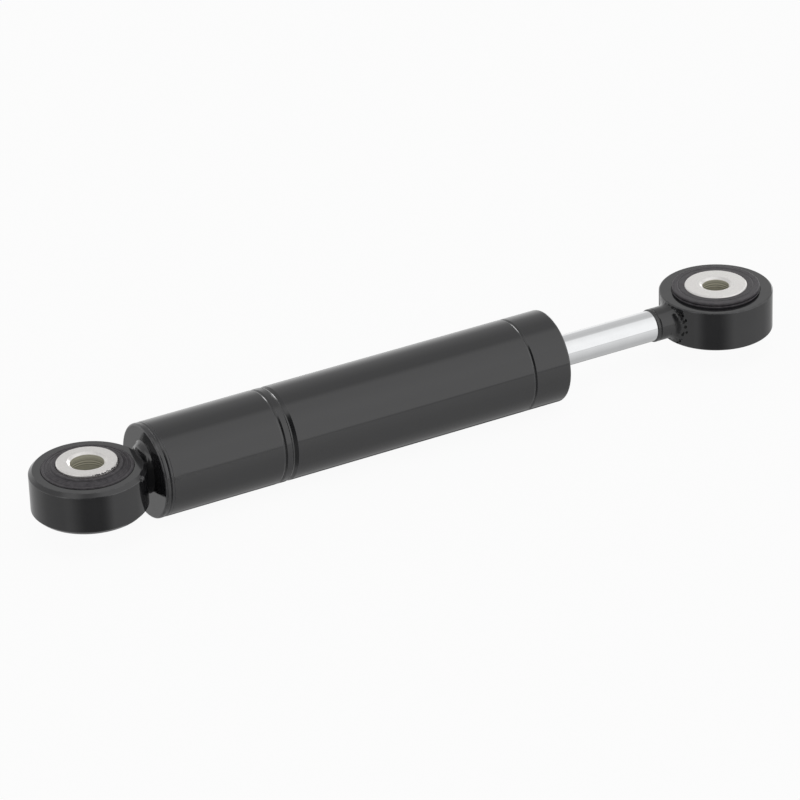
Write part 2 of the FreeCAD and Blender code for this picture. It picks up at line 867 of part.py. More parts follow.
def base_valve():
    """Turn the valve body that the double groove holds, bore its ports and fit its O-ring."""
    length = size["valve_body_length"]
    hole = size["stud_diameter"] / 2 + seat
    lead = size["valve_body_lead"]
    second = lead + size["valve_groove_pitch"]
    body = turned("base_valve_body", valve_body_x, [
        (0, hole),
        (0, seated_radius),
        *o_ring_groove(size["valve_ring_inset"], seated_radius),
        *rolled_groove(lead, size["first_groove_width"], seated_radius, seat * 2),
        *rolled_groove(second, size["second_groove_width"], seated_radius, seat * 2),
        (length, seated_radius),
        (length, hole),
    ])
    hole_ring(body, "inner_ports", inner_port_offset, inner_port_radius)
    hole_ring(body, "outer_ports", outer_port_offset, outer_port_radius, between=True)
    ring_x = valve_body_x + size["valve_ring_inset"] + size["o_ring_side_gap"]
    o_ring("base_valve_o_ring", ring_x, seated_radius)


def base_valve_stud():
    """Turn the stud through the valve body, and fit its discs and nut."""
    shank = size["stud_diameter"] / 2
    head = size["stud_head_height"]
    end = stud_nut_x + size["stud_nut_height"] + size["stud_spare"] - stud_head_x
    turned("base_valve_stud", stud_head_x, [
        (0, 0),
        (0, size["stud_head_diameter"] / 2),
        (head, size["stud_head_diameter"] / 2),
        (head, shank),
        (end, shank),
        (end, 0),
    ])
    discs = [clamp_radius, middle_cover_radius, inner_cover_radius]
    shim_stack("base_valve_shims", valve_shims_x, shank + seat, discs)
    hexagon_nut("base_valve_nut", stud_nut_x, size["stud_nut_width"], size["stud_nut_height"], shank + seat)


def intake_valve():
    """Turn the hub that carries the intake plate, the plate with its windows, and its cone spring."""
    hub = size["intake_hub_diameter"] / 2
    flange = size["intake_flange_diameter"] / 2
    hub_length = size["intake_hub_length"]
    hub_end = hub_length + size["intake_flange_thickness"]
    hole = size["stud_diameter"] / 2 + seat
    turned("intake_hub", valve_face_x, [
        (0, hole),
        (0, hub),
        (hub_length, hub),
        (hub_length, flange),
        (hub_end, flange),
        (hub_end, hole),
    ])
    film = size["seat_film"]
    thickness = size["intake_plate_thickness"]
    plate = ring("intake_plate", valve_face_x + film, thickness, hub + running, outer_cover_radius)
    hole_ring(plate, "windows", inner_port_offset, window_radius)
    wire = size["intake_spring_thickness"]
    room = hub_length - thickness - film * 2
    foot = size["intake_spring_foot"] / 2
    top = (hub + flange) / 2
    turned("intake_spring", valve_face_x + thickness + film * 2, [
        (0, foot),
        (wire, foot),
        (room, top),
        (room - wire, top),
    ])


def floating_piston():
    """Turn the cup that slides between gas and oil, and its O-ring."""
    length = size["float_length"]
    outer = bore_radius - running
    hollow = outer - size["float_wall"]
    floor = length - size["float_floor"]
    chamfer = size["float_chamfer"]
    turned("floating_piston", float_x, [
        (0, hollow),
        (0, outer - chamfer),
        (chamfer, outer),
        *o_ring_groove(size["float_ring_inset"], outer),
        (length - chamfer, outer),
        (length, outer - chamfer),
        (length, 0),
        (floor, 0),
        (floor, hollow),
    ])
    o_ring("floating_piston_o_ring", float_x + size["float_ring_inset"] + size["o_ring_side_gap"], outer)


eye_ring("body_eye_ring", 0, "body")
body_rubber()
bush_sleeve("body_bush_sleeve", 0, "body", body_sleeve_radius)
base_cap()
body_eye_weld()
base_seam_weld()
outer_tube()
floating_piston()
base_valve()
base_valve_stud()
intake_valve()
piston_rod()
piston()
piston_discs()
piston_nut()
rebound_stop()
rod_guide()
rod_seal()
support_washer()
rod_neck()
rod_eye_weld()
eye_ring("rod_eye_ring", rod_eye_x, "rod")
rod_rubber()
bush_sleeve("rod_bush_sleeve", rod_eye_x, "rod", rod_sleeve_radius)
doc.recompute()

for item in doc.Objects:
    if "Invalid" in item.State or "Error" in item.State:
        raise RuntimeError(f"{item.Label} failed: {item.State}")
for item in sub_parts:
    if item.Shape.isNull() or not item.Shape.isValid():
        raise RuntimeError(f"{item.Label} has no valid shape")

os.makedirs("parts", exist_ok=True)
for item in sub_parts:
    item.Shape.exportStep(f"parts/{item.Label}.step")
    print(f"{item.Label}: {len(item.Shape.Solids)} solid, {item.Shape.Volume:.1f} cubic mm")
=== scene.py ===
"""Dresses a belt tensioner damper for a studio picture, piece by piece round its fixed frame."""
import json
import logging
import math
from collections.abc import Sequence
from dataclasses import dataclass, field, replace
from enum import Enum
from functools import cache

import bmesh
import bpy
import numpy as np
from bpy.types import ID, Material, Node, NodeInputs, NodeOutputs, NodeSocket, NodeTree, Object, World
from mathutils import Matrix, Vector


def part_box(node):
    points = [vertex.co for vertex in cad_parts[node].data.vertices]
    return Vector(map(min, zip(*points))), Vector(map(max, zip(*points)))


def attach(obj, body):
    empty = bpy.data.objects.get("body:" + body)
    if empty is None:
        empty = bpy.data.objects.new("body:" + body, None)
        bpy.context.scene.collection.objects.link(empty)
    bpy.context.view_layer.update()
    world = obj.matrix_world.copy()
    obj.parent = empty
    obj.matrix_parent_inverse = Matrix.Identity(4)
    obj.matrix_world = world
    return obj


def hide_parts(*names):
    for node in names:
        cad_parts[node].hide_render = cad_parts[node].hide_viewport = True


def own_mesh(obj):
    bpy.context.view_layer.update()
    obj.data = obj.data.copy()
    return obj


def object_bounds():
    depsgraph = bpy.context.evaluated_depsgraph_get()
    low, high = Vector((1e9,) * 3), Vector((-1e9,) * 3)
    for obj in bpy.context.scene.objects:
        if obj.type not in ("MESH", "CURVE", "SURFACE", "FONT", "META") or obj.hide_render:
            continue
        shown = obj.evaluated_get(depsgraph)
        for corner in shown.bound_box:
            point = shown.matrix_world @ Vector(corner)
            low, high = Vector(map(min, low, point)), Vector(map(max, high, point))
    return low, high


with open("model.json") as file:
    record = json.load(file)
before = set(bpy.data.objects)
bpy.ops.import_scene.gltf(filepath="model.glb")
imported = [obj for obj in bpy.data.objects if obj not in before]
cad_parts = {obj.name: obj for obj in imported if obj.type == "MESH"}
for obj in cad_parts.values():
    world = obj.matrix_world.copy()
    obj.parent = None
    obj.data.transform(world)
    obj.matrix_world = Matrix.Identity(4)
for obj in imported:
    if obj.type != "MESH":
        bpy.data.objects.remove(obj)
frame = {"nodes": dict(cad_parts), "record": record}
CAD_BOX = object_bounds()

LOG = logging.getLogger("damper")
EDGE_MARK = "edge"
SEED = 11
MM = 0.001
TINY = 1e-6
MERGE_DISTANCE = 1e-7
SHARP_ANGLE = math.radians(40)
EVEN = (1.0, 1.0, 1.0)
DRAWN = (0.06, 1.0, 1.0)
FINE_SEGMENTS = 256

# Sizes in millimetres that several pieces share: gaps, a flange, and fillets from sharp to soft
FIT_GAP = 0.03
SEAT_GAP = 0.05
CAP_FLANGE = 1.7
CRISP = 0.05
KEEN = 0.08
FINE = 0.1
NEAT = 0.12
SOFT = 0.15
EASED = 0.2
MILD = 0.25
ROUND = 0.3

Colour = tuple[float, float, float]
Place = tuple[float, float, float]


class Axis(Enum):
    """The line that a piece is turned about."""

    ALONG = "the damper's own axis"
    UPRIGHT = "the bore of an eye"


class Body(Enum):
    """The bodies of the frame that carry visible pieces."""

    BARREL = "barrel"
    BODY_SLEEVE = "body_sleeve"
    ROD = "rod"
    ROD_SLEEVE = "rod_sleeve"


class Slot(Enum):
    """The material slots of the record."""

    PAINT = "black_paint"
    BUSH_RUBBER = "bush_rubber"
    ZINC = "zinc_plate"
    CHROME = "hard_chrome"
    PLAIN_STEEL = "plain_steel"
    SPRING_STEEL = "spring_steel"
    SINTERED = "sintered_iron"
    ALUMINIUM = "aluminium"
    BRONZE = "bronze"
    BAND = "band_plastic"
    SEAL = "seal_rubber"


@dataclass(frozen=True)
class Envelope:
    """A node's box in millimetres, read as a turned piece: its span along the damper, radius and top."""

    start: float
    end: float
    centre: float
    radius: float
    top: float

    @classmethod
    def of(cls, node: str) -> "Envelope":
        """Read the box of one node."""
        low, high = (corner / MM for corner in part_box(node))
        return cls(low.x, high.x, (low.x + high.x) / 2, (high.y - low.y) / 2, high.z)


# Turned meshes

@dataclass(frozen=True)
class Corner:
    """A corner of a turned outline in millimetres, rounded by a fillet where it has one."""

    along: float
    radius: float
    fillet: float = 0.0


def mirrored(upper: Sequence[Corner]) -> list[Corner]:
    """Complete an upright outline that is the same above and below its middle."""
    return [replace(corner, along=-corner.along) for corner in reversed(upper)] + list(upper)


def unit(vector: np.ndarray) -> np.ndarray:
    """Scale a vector to length one."""
    return vector / np.linalg.norm(vector)


def new_object(name: str, data: ID) -> Object:
    """Put a new object in the scene.

    Args:
        name: The name of the object.
        data: Its mesh, lamp or camera.

    Returns:
        The object.
    """
    thing = bpy.data.objects.new(name, data)
    bpy.context.scene.collection.objects.link(thing)
    return thing


def finished_object(name: str, places: np.ndarray, faces: Sequence[Sequence[int]],
                    marks: np.ndarray) -> Object:
    """Make a closed, smooth object from points in millimetres.

    Args:
        name: The name of the piece.
        places: The points, one row each.
        faces: The corners of each face.
        marks: The edge mark of each point.

    Returns:
        The new object, with its faces pointing outwards.
    """
    mesh = bpy.data.meshes.new(name)
    mesh.from_pydata((places * MM).tolist(), [], faces)
    mesh.attributes.new(EDGE_MARK, "FLOAT", "POINT").data.foreach_set("value", marks.astype(np.float32))
    work = bmesh.new()
    work.from_mesh(mesh)
    bmesh.ops.remove_doubles(work, verts=work.verts, dist=MERGE_DISTANCE)
    bmesh.ops.recalc_face_normals(work, faces=work.faces)
    work.to_mesh(mesh)
    work.free()
    mesh.shade_smooth()
    mesh.set_sharp_from_angle(angle=SHARP_ANGLE)
    return new_object(name, mesh)


@dataclass(frozen=True)
class Lathe:
    """Turns outlines into closed meshes; a narrow rim beside each rounded corner keeps flat faces flat."""

    axis: Axis = Axis.ALONG
    centre: float = 0.0
    segments: int = 192
    steps: int = 5
    rim: float = 0.04
    reach: float = 0.42
    rim_reach: float = 0.07

    def turn(self, name: str, corners: Sequence[Corner]) -> Object:
        """Turn an outline.

        Args:
            name: The name of the piece.
            corners: The corners of the outline, in order round it.

        Returns:
            The turned piece.
        """
        circle = np.linspace(0, 2 * math.pi, self.segments, endpoint=False)
        places: list[np.ndarray] = []
        marks: list[float] = []
        rings: list[range] = []
        for (along, radius), mark in self._rounded(corners):
            angles = circle if radius > TINY else circle[:1]
            level = np.full_like(angles, along)
            first, second = radius * np.cos(angles), radius * np.sin(angles)
            upright = (self.centre + first, second, level)
            places.append(np.column_stack((level, first, second) if self.axis is Axis.ALONG else upright))
            rings.append(range(len(marks), len(marks) + len(angles)))
            marks += [mark] * len(angles)
        faces = [face for index, ring in enumerate(rings) for face in self._strip(rings[index - 1], ring)]
        return finished_object(name, np.concatenate(places), faces, np.array(marks))

    @staticmethod
    def _strip(one: range, other: range) -> list[tuple[int, ...]]:
        """Join two neighbouring rings, or a ring and a point on the axis.

        Args:
            one: The points of a ring.
            other: The points of the next.

        Returns:
            The faces between them.
        """
        faces = []
        count = max(len(one), len(other))
        for step in range(count if count > 1 else 0):
            corners = (one[step % len(one)], one[(step + 1) % len(one)],
                       other[(step + 1) % len(other)], other[step % len(other)])
            faces.append(tuple(dict.fromkeys(corners)))
        return faces

    def _rounded(self, corners: Sequence[Corner]) -> list[tuple[np.ndarray, float]]:
        """Round every corner of an outline.

        Args:
            corners: The corners, in order round it.

        Returns:
            Its points, each with 1 on an outer edge, -1 in an inner corner and 0 elsewhere.
        """
        flat = np.array([(corner.along, corner.radius) for corner in corners])
        following = np.roll(flat, -1, axis=0)
        area = np.sum(flat[:, 0] * following[:, 1] - following[:, 0] * flat[:, 1])
        points: list[tuple[np.ndarray, float]] = []
        for index, corner in enumerate(corners):
            arc, turn = self._arc(flat[index - 1], flat[index], following[index], corner.fillet)
            mark = math.copysign(1.0, turn * area)
            curved = range(1, len(arc) - 1)
            points += [(place, mark if step in curved else 0.0) for step, place in enumerate(arc)]
        return points

    def _arc(self, before: np.ndarray, here: np.ndarray, after: np.ndarray,
             fillet: float) -> tuple[list[np.ndarray], float]:
        """Replace one corner by an arc.

        Args:
            before: The corner before.
            here: The corner itself.
            after: The corner after.
            fillet: The radius wanted; short sides limit it.

        Returns:
            The points of the arc, and the turn, positive to the left.
        """
        back, ahead = unit(before - here), unit(after - here)
        turn = float(back[1] * ahead[0] - back[0] * ahead[1])
        if fillet <= 0 or abs(turn) < TINY:
            return [here], turn
        half = math.acos(max(-1.0, min(1.0, float(back @ ahead)))) / 2
        side = min(np.linalg.norm(before - here), np.linalg.norm(after - here))
        tangent = min(fillet / math.tan(half), self.reach * side)
        radius = tangent * math.tan(half)
        centre = here + unit(back + ahead) * radius / math.sin(half)
        rim = min(self.rim, self.rim_reach * side)
        first = here + back * tangent - centre
        sweep = math.copysign(math.pi - 2 * half, turn)
        arc = [here + back * (tangent + rim)]
        for step in range(self.steps + 1):
            angle = sweep * step / self.steps
            cosine, sine = math.cos(angle), math.sin(angle)
            turned = (first[0] * cosine - first[1] * sine, first[0] * sine + first[1] * cosine)
            arc.append(centre + np.array(turned))
        arc.append(here + ahead * (tangent + rim))
        return arc, turn


# Nodes

def in_use(sockets: Sequence[NodeSocket], name: str) -> NodeSocket:
    """Find the socket of this name that the node's present settings use."""
    return next(socket for socket in sockets if socket.enabled and socket.name == name)


class NodeSheet:
    """A node tree with short calls to add and join nodes; an input gets another socket or a constant."""

    def __init__(self, tree: NodeTree) -> None:
        """Keep the tree."""
        self.tree = tree

    @classmethod
    def bare(cls, block: Material | World) -> "NodeSheet":
        """Clear the nodes that a material or world starts with.

        Args:
            block: The material or world.

        Returns:
            Its empty sheet.
        """
        block.use_nodes = True
        block.node_tree.nodes.clear()
        return cls(block.node_tree)

    def feed(self, socket: NodeSocket, value: object) -> None:
        """Join a socket to another one, or set its own value.

        Args:
            socket: The input.
            value: What it gets.
        """
        if isinstance(value, NodeSocket):
            self.tree.links.new(value, socket)
        else:
            socket.default_value = value

    def fill(self, node: Node, **values: object) -> None:
        """Feed a node's inputs by name, with _ for a space."""
        for label, value in values.items():
            self.feed(in_use(node.inputs, label.replace("_", " ")), value)

    def add(self, kind: str, *values: object, **named: object) -> Node:
        """Add a node.

        Args:
            kind: The type of the node.
            *values: What its inputs get, in order.
            **named: Its properties, in small letters, and what its inputs get, by name.

        Returns:
            The node.
        """
        node = self.tree.nodes.new(kind)
        for name in filter(str.islower, named):
            setattr(node, name, named[name])
        for socket, value in zip(node.inputs, values):
            self.feed(socket, value)
        self.fill(node, **{label: value for label, value in named.items() if not label.islower()})
        return node

    def chain(self, kind: str, *values: object, **named: object) -> NodeSocket:
        """Add a node and give its first output in use."""
        return next(socket for socket in self.add(kind, *values, **named).outputs if socket.enabled)

    def math(self, operation: str, *values: object) -> NodeSocket:
        """Work out one number."""
        return self.chain("ShaderNodeMath", *values, operation=operation)

    def blend(self, share: NodeSocket, first: NodeSocket, second: NodeSocket) -> NodeSocket:
        """Mix two shaders by the share of the second."""
        return self.chain("ShaderNodeMixShader", share, first, second)

    def tint(self, mask: NodeSocket, low: object, high: object) -> NodeSocket:
        """Mix two colours by the share of the second."""
        first, second = ((*colour, 1) if isinstance(colour, tuple) else colour for colour in (low, high))
        return self.chain("ShaderNodeMix", data_type="RGBA", Factor=mask, A=first, B=second)

    def cover(self, **values: object) -> None:
        """Feed the material's own shader."""
        self.fill(self.tree.nodes["Principled BSDF"], **values)

    def surface(self, shader: NodeSocket, kind: str = "ShaderNodeOutputMaterial") -> None:
        """Show a shader on the surface."""
        self.add(kind, Surface=shader)

    def place(self, kind: str) -> NodeSocket:
        """Read one kind of texture coordinate."""
        return self.add("ShaderNodeTexCoord").outputs[kind]

    def parts(self, vector: NodeSocket) -> NodeOutputs:
        """Split a vector into X, Y and Z."""
        return self.add("ShaderNodeSeparateXYZ", vector).outputs

    def between(self, mask: NodeSocket, low: float, high: float) -> NodeSocket:
        """Spread a mask from one number to another."""
        return self.chain("ShaderNodeMapRange", Value=mask, To_Min=low, To_Max=high)

    def stretched(self, noise: NodeSocket) -> NodeSocket:
        """Stretch a noise, which keeps near its middle, to a mask from 0 to 1."""
        return self.chain("ShaderNodeMapRange", Value=noise, From_Min=0.3, From_Max=0.7)

    def eased(self, value: NodeSocket, low: float, high: float) -> NodeSocket:
        """Make a mask that rises smoothly from 0 at one number to 1 at another."""
        return self.chain("ShaderNodeMapRange", interpolation_type="SMOOTHSTEP", Value=value, From_Min=low,
                          From_Max=high)

    def relief(self, height: NodeSocket, depth: float) -> NodeSocket:
        """Turn a height from 0 to 1 into a relief of this depth in metres."""
        return self.chain("ShaderNodeBump", Strength=1.0, Distance=depth, Height=height)

    def random(self, low: object, high: object, seed: NodeSocket) -> NodeSocket:
        """Draw a number or a vector between two limits for each point."""
        kind = "FLOAT_VECTOR" if isinstance(high, tuple) else "FLOAT"
        return self.chain("FunctionNodeRandomValue", data_type=kind, Min=low, Max=high, Seed=seed)

    def scaled(self, vector: NodeSocket, factor: NodeSocket) -> NodeSocket:
        """Scale a vector by a number."""
        return self.chain("ShaderNodeVectorMath", operation="SCALE", Vector=vector, Scale=factor)

    def rays(self) -> tuple[NodeSocket, NodeSocket]:
        """Tell the rays apart.

        Returns:
            A mask of the rays that the camera sees, straight or through glass, and one of reflections.
        """
        path = self.add("ShaderNodeLightPath").outputs
        seen = self.math("ADD", path["Is Camera Ray"], path["Is Transmission Ray"])
        return seen, path["Is Glossy Ray"]

    def sockets(self, inputs: dict[str, str], outputs: dict[str, str]) -> tuple[NodeOutputs, NodeInputs]:
        """Give a group its own sockets.

        Args:
            inputs: The kind of each input.
            outputs: The kind of each output.

        Returns:
            What comes into the group, and what goes out of it.
        """
        for way, rows in (("INPUT", inputs), ("OUTPUT", outputs)):
            for label, kind in rows.items():
                self.tree.interface.new_socket(name=label, in_out=way, socket_type=f"NodeSocket{kind}")
        return self.add("NodeGroupInput").outputs, self.add("NodeGroupOutput").inputs


class ShaderGroup:
    """A shader effect that several finishes share, built once."""

    name = ""
    inputs: dict[str, str] = {}
    outputs: tuple[str, ...] = ()

    def __init__(self) -> None:
        """Make the group with its sockets and draw its nodes."""
        self.sheet = NodeSheet(bpy.data.node_groups.new(self.name, "ShaderNodeTree"))
        self.entry, self.leave = self.sheet.sockets(self.inputs, dict.fromkeys(self.outputs, "Float"))
        self.draw()

    @classmethod
    @cache
    def made(cls) -> "ShaderGroup":
        """Make the group the first time."""
        return cls()

    @classmethod
    def put(cls, sheet: NodeSheet, **values: object) -> NodeOutputs:
        """Put the group into a material and give its outputs."""
        return sheet.add("ShaderNodeGroup", node_tree=cls.made().sheet.tree, **values).outputs

    def draw(self) -> None:
        """Draw the nodes between what comes into the group and what goes out of it."""
        raise NotImplementedError


class SurfaceGrain(ShaderGroup):
    """Soft mottling at one scale, for orange peel, rubber grain and uneven tone."""

    name = "surface_grain"
    inputs = {"Pitch": "Float", "Detail": "Float", "Stretch": "Vector"}
    outputs = ("Mask",)

    def draw(self) -> None:
        """Spread a noise over the surface, one blotch to a pitch."""
        sheet, entry = self.sheet, self.entry
        place = sheet.chain("ShaderNodeMapping", Vector=sheet.place("Object"), Scale=entry["Stretch"])
        scale = sheet.math("DIVIDE", 1.0, entry["Pitch"])
        noise = sheet.chain("ShaderNodeTexNoise", Vector=place, Scale=scale, Detail=entry["Detail"])
        sheet.feed(self.leave["Mask"], sheet.stretched(noise))


class TurnedMarks(ShaderGroup):
    """Fine marks of a lathe tool about the upright axis of the vector that it gets."""

    name = "turned_marks"
    inputs = {"Vector": "Vector", "Pitch": "Float"}
    outputs = ("Face", "Wall", "Radius")

    def draw(self) -> None:
        """Ring the end faces by their radius and the round walls by their height."""
        sheet, entry = self.sheet, self.entry
        parts = sheet.parts(entry["Vector"])
        radius = sheet.math("SQRT", sheet.math("ADD", sheet.math("POWER", parts["X"], 2.0),
                                               sheet.math("POWER", parts["Y"], 2.0)))
        for label, distance in (("Face", radius), ("Wall", parts["Z"])):
            turns = sheet.math("DIVIDE", distance, entry["Pitch"])
            noise = sheet.chain("ShaderNodeTexNoise", noise_dimensions="1D", W=turns, Scale=1.0, Detail=2.0)
            sheet.feed(self.leave[label], sheet.stretched(noise))
        sheet.feed(self.leave["Radius"], radius)


class EdgeWearHighlightShade(ShaderGroup):
    """Broken-up masks of the rounded outer edges, for wear and a painted highlight, and of the inner
    corners, for painted shade.
    """

    name = "edge_wear"
    inputs = {"Pitch": "Float"}
    outputs = ("Wear", "Crevice")

    def draw(self) -> None:
        """Read the mark that the mesh keeps of its edges and break it up."""
        sheet = self.sheet
        mark = sheet.add("ShaderNodeAttribute", attribute_name=EDGE_MARK).outputs["Fac"]
        grain = SurfaceGrain.put(sheet, Pitch=self.entry["Pitch"], Detail=3.0, Stretch=EVEN)["Mask"]
        # The outer-edge mask lightens edges as wear and as a painted highlight; the inner-corner mask
        # darkens corners as painted shade.
        sheet.feed(self.leave["Wear"], sheet.math("MULTIPLY", sheet.math("MAXIMUM", mark, 0.0), grain))
        inner = sheet.math("MAXIMUM", sheet.math("MULTIPLY", mark, -1.0), 0.0)
        sheet.feed(self.leave["Crevice"], sheet.math("MULTIPLY", inner, sheet.between(grain, 0.6, 1.0)))


# Finishes

@dataclass(frozen=True)
class Finish:
    """What every finish has: its slot, two near tones and a span of roughness."""

    slot: Slot
    dark: Colour
    light: Colour
    smooth: float
    rough: float
    variant: str = ""

    @cache
    def material(self) -> Material:
        """Mix the material the first time.

        Returns:
            The material.
        """
        made = bpy.data.materials.new(f"{self.slot.value}_finish{self.variant}")
        made.use_nodes = True
        made.diffuse_color = (*self.light, 1)
        self.mix(NodeSheet(made.node_tree))
        return made

    def mix(self, sheet: NodeSheet) -> None:
        """Draw the nodes of the finish in front of its shader.

        Args:
            sheet: The material's nodes.
        """
        raise NotImplementedError


@dataclass(frozen=True)
class PaintFinish(Finish):
    """Glossy black paint over drawn metal, streaked along the damper; its rounded edges are lighter, partly
    worn thin and partly a painted highlight, and its inner corners are darker as painted shade.
    """

    # The edge tone stands for worn paint and a painted highlight; the corner tone is painted shade.
    worn_and_highlight: Colour = (0.14, 0.14, 0.145)
    wear_and_highlight_share: float = 0.3
    edge_mask_pitch: float = 1.8 * MM
    crevice: Colour = (0.006, 0.006, 0.006)
    crevice_shade_share: float = 0.6
    peel_pitch: float = 5 * MM
    peel_depth: float = 0.01 * MM
    cloud_pitch: float = 5 * MM
    index: float = 1.74

    def mix(self, sheet: NodeSheet) -> None:
        """Mix the paint.

        Args:
            sheet: The material's nodes.
        """
        cloud = SurfaceGrain.put(sheet, Pitch=self.cloud_pitch, Detail=2.0, Stretch=DRAWN)["Mask"]
        peel = SurfaceGrain.put(sheet, Pitch=self.peel_pitch, Detail=0.0, Stretch=DRAWN)["Mask"]
        edges = EdgeWearHighlightShade.put(sheet, Pitch=self.edge_mask_pitch)
        tone = sheet.tint(cloud, self.dark, self.light)
        # Lighter rounded edges: paint worn thin plus a painted highlight.
        tone = sheet.tint(sheet.math("MULTIPLY", edges["Wear"], self.wear_and_highlight_share), tone, self.worn_and_highlight)
        # Darker inner corners: painted shade.
        tone = sheet.tint(sheet.math("MULTIPLY", edges["Crevice"], self.crevice_shade_share), tone, self.crevice)
        sheet.cover(Base_Color=tone, Roughness=sheet.between(cloud, self.smooth, self.rough), IOR=self.index,
                    Normal=sheet.relief(peel, self.peel_depth))


@dataclass(frozen=True)
class SootedPaint(PaintFinish):
    """Weld soot up to a height, with glossy paint over it above that."""

    soot_foot: float = 3 * MM
    soot_top: float = 7 * MM
    gloss: float = 0.1
    gloss_index: float = 1.74

    def mix(self, sheet: NodeSheet) -> None:
        """Mix the soot and lay the gloss over its upper part.

        Args:
            sheet: The material's nodes.
        """
        super().mix(sheet)
        height = sheet.parts(sheet.place("Object"))["Z"]
        sheet.cover(Coat_Weight=sheet.eased(height, self.soot_foot, self.soot_top),
                    Coat_Roughness=self.gloss, Coat_IOR=self.gloss_index)


@dataclass(frozen=True)
class RubberFinish(Finish):
    """Matt moulded rubber with a fine grain and a pale bloom in patches; its rounded edges take the bloom
    tone, partly as wear and partly as a painted highlight, and its inner corners are darker as painted
    shade.
    """

    bloom: Colour = (0.12, 0.114, 0.12)
    bloom_pitch: float = 1.5 * MM
    bloom_share: float = 0.5
    wear_and_highlight_share: float = 0.5
    crevice: Colour = (0.008, 0.008, 0.008)
    crevice_shade_share: float = 0.7
    grain_pitch: float = 0.35 * MM
    grain_depth: float = 0.03 * MM
    specular: float = 0.3

    def mix(self, sheet: NodeSheet) -> None:
        """Mix the rubber.

        Args:
            sheet: The material's nodes.
        """
        grain = SurfaceGrain.put(sheet, Pitch=self.grain_pitch, Detail=4.0, Stretch=EVEN)["Mask"]
        bloom = SurfaceGrain.put(sheet, Pitch=self.bloom_pitch, Detail=5.0, Stretch=EVEN)["Mask"]
        edges = EdgeWearHighlightShade.put(sheet, Pitch=self.grain_pitch)
        tone = sheet.tint(grain, self.dark, self.light)
        tone = sheet.tint(sheet.math("MULTIPLY", bloom, self.bloom_share), tone, self.bloom)
        # Lighter rounded edges: wear plus a painted highlight, in the bloom tone.
        tone = sheet.tint(sheet.math("MULTIPLY", edges["Wear"], self.wear_and_highlight_share), tone, self.bloom)
        # Darker inner corners: painted shade.
        tone = sheet.tint(sheet.math("MULTIPLY", edges["Crevice"], self.crevice_shade_share), tone, self.crevice)
        sheet.cover(Base_Color=tone, Roughness=sheet.between(bloom, self.smooth, self.rough),
                    Specular_IOR_Level=self.specular, Normal=sheet.relief(grain, self.grain_depth))


@dataclass(frozen=True)
class TurnedFinish(Finish):
    """Bare or plated metal with the marks of turning, and a dull oxidised bore where it has one."""

    axis: Axis = Axis.ALONG
    centre: float = 0.0
    mark_pitch: float = 0.22 * MM
    mark_depth: float = 0.004 * MM
    cloud_pitch: float = 4 * MM
    bore_radius: float = 0.0
    bore_margin: float = 0.02
    bore_dark: Colour = (0.26, 0.25, 0.19)
    bore_light: Colour = (0.72, 0.7, 0.58)
    bore_metal: float = 0.25
    bore_rough: float = 0.5

    def mix(self, sheet: NodeSheet) -> None:
        """Mix the metal.

        Args:
            sheet: The material's nodes.
        """
        upright = sheet.chain("ShaderNodeMapping", Vector=sheet.place("Object"),
                              Location=(-self.centre * MM, 0, 0),
                              Rotation=(0, -math.pi / 2 if self.axis is Axis.ALONG else 0, 0))
        marks = TurnedMarks.put(sheet, Vector=upright, Pitch=self.mark_pitch)
        cloud = SurfaceGrain.put(sheet, Pitch=self.cloud_pitch, Detail=4.0, Stretch=EVEN)["Mask"]
        rings = sheet.math("MULTIPLY", sheet.math("ADD", marks["Face"], marks["Wall"]), 0.5)
        streaks = sheet.math("MULTIPLY", sheet.math("ADD", rings, cloud), 0.5)
        tone = sheet.tint(streaks, self.dark, self.light)
        roughness = sheet.between(streaks, self.smooth, self.rough)
        metal = 1.0
        if self.bore_radius:
            bore = sheet.math("LESS_THAN", marks["Radius"], (self.bore_radius + self.bore_margin) * MM)
            tone = sheet.tint(bore, tone, sheet.tint(marks["Wall"], self.bore_dark, self.bore_light))
            roughness = sheet.math("MAXIMUM", roughness, sheet.math("MULTIPLY", bore, self.bore_rough))
            metal = sheet.between(bore, 1.0, self.bore_metal)
        sheet.cover(Base_Color=tone, Roughness=roughness, Metallic=metal,
                    Normal=sheet.relief(rings, self.mark_depth))


BLACK_PAINT = PaintFinish(Slot.PAINT, (0.0095, 0.0095, 0.0105), (0.0125, 0.0125, 0.0135), 0.08, 0.11)
SOOTED_PAINT = SootedPaint(Slot.PAINT, BLACK_PAINT.dark, BLACK_PAINT.light, 0.4, 0.6, "_sooted",
                           wear_and_highlight_share=0.0, index=1.2)
WELD_SLAG = PaintFinish(Slot.PAINT, (0.012, 0.012, 0.012), (0.02, 0.02, 0.02), 0.4, 0.6, "_slag",
                        wear_and_highlight_share=0.0, index=1.2)
BUSH_RUBBER = RubberFinish(Slot.BUSH_RUBBER, (0.02, 0.0175, 0.021), (0.05, 0.046, 0.051), 0.42, 0.6)
SEAL_RUBBER = RubberFinish(Slot.SEAL, (0.012, 0.012, 0.012), (0.02, 0.02, 0.021), 0.35, 0.5, bloom_share=0.1)
BAND_PLASTIC = RubberFinish(Slot.BAND, (0.16, 0.13, 0.1), (0.22, 0.19, 0.15), 0.4, 0.55,
                            bloom=(0.26, 0.23, 0.19), bloom_share=0.2)
ZINC = TurnedFinish(Slot.ZINC, (0.82, 0.8, 0.78), (1.0, 0.985, 0.965), 0.34, 0.5, axis=Axis.UPRIGHT,
                    mark_pitch=0.4 * MM, mark_depth=0.002 * MM, cloud_pitch=0.7 * MM)
CHROME = TurnedFinish(Slot.CHROME, (0.86, 0.87, 0.88), (0.92, 0.93, 0.94), 0.05, 0.09,
                      mark_depth=0.0001 * MM)
PLAIN_STEEL = TurnedFinish(Slot.PLAIN_STEEL, (0.36, 0.36, 0.37), (0.5, 0.5, 0.51), 0.25, 0.4)
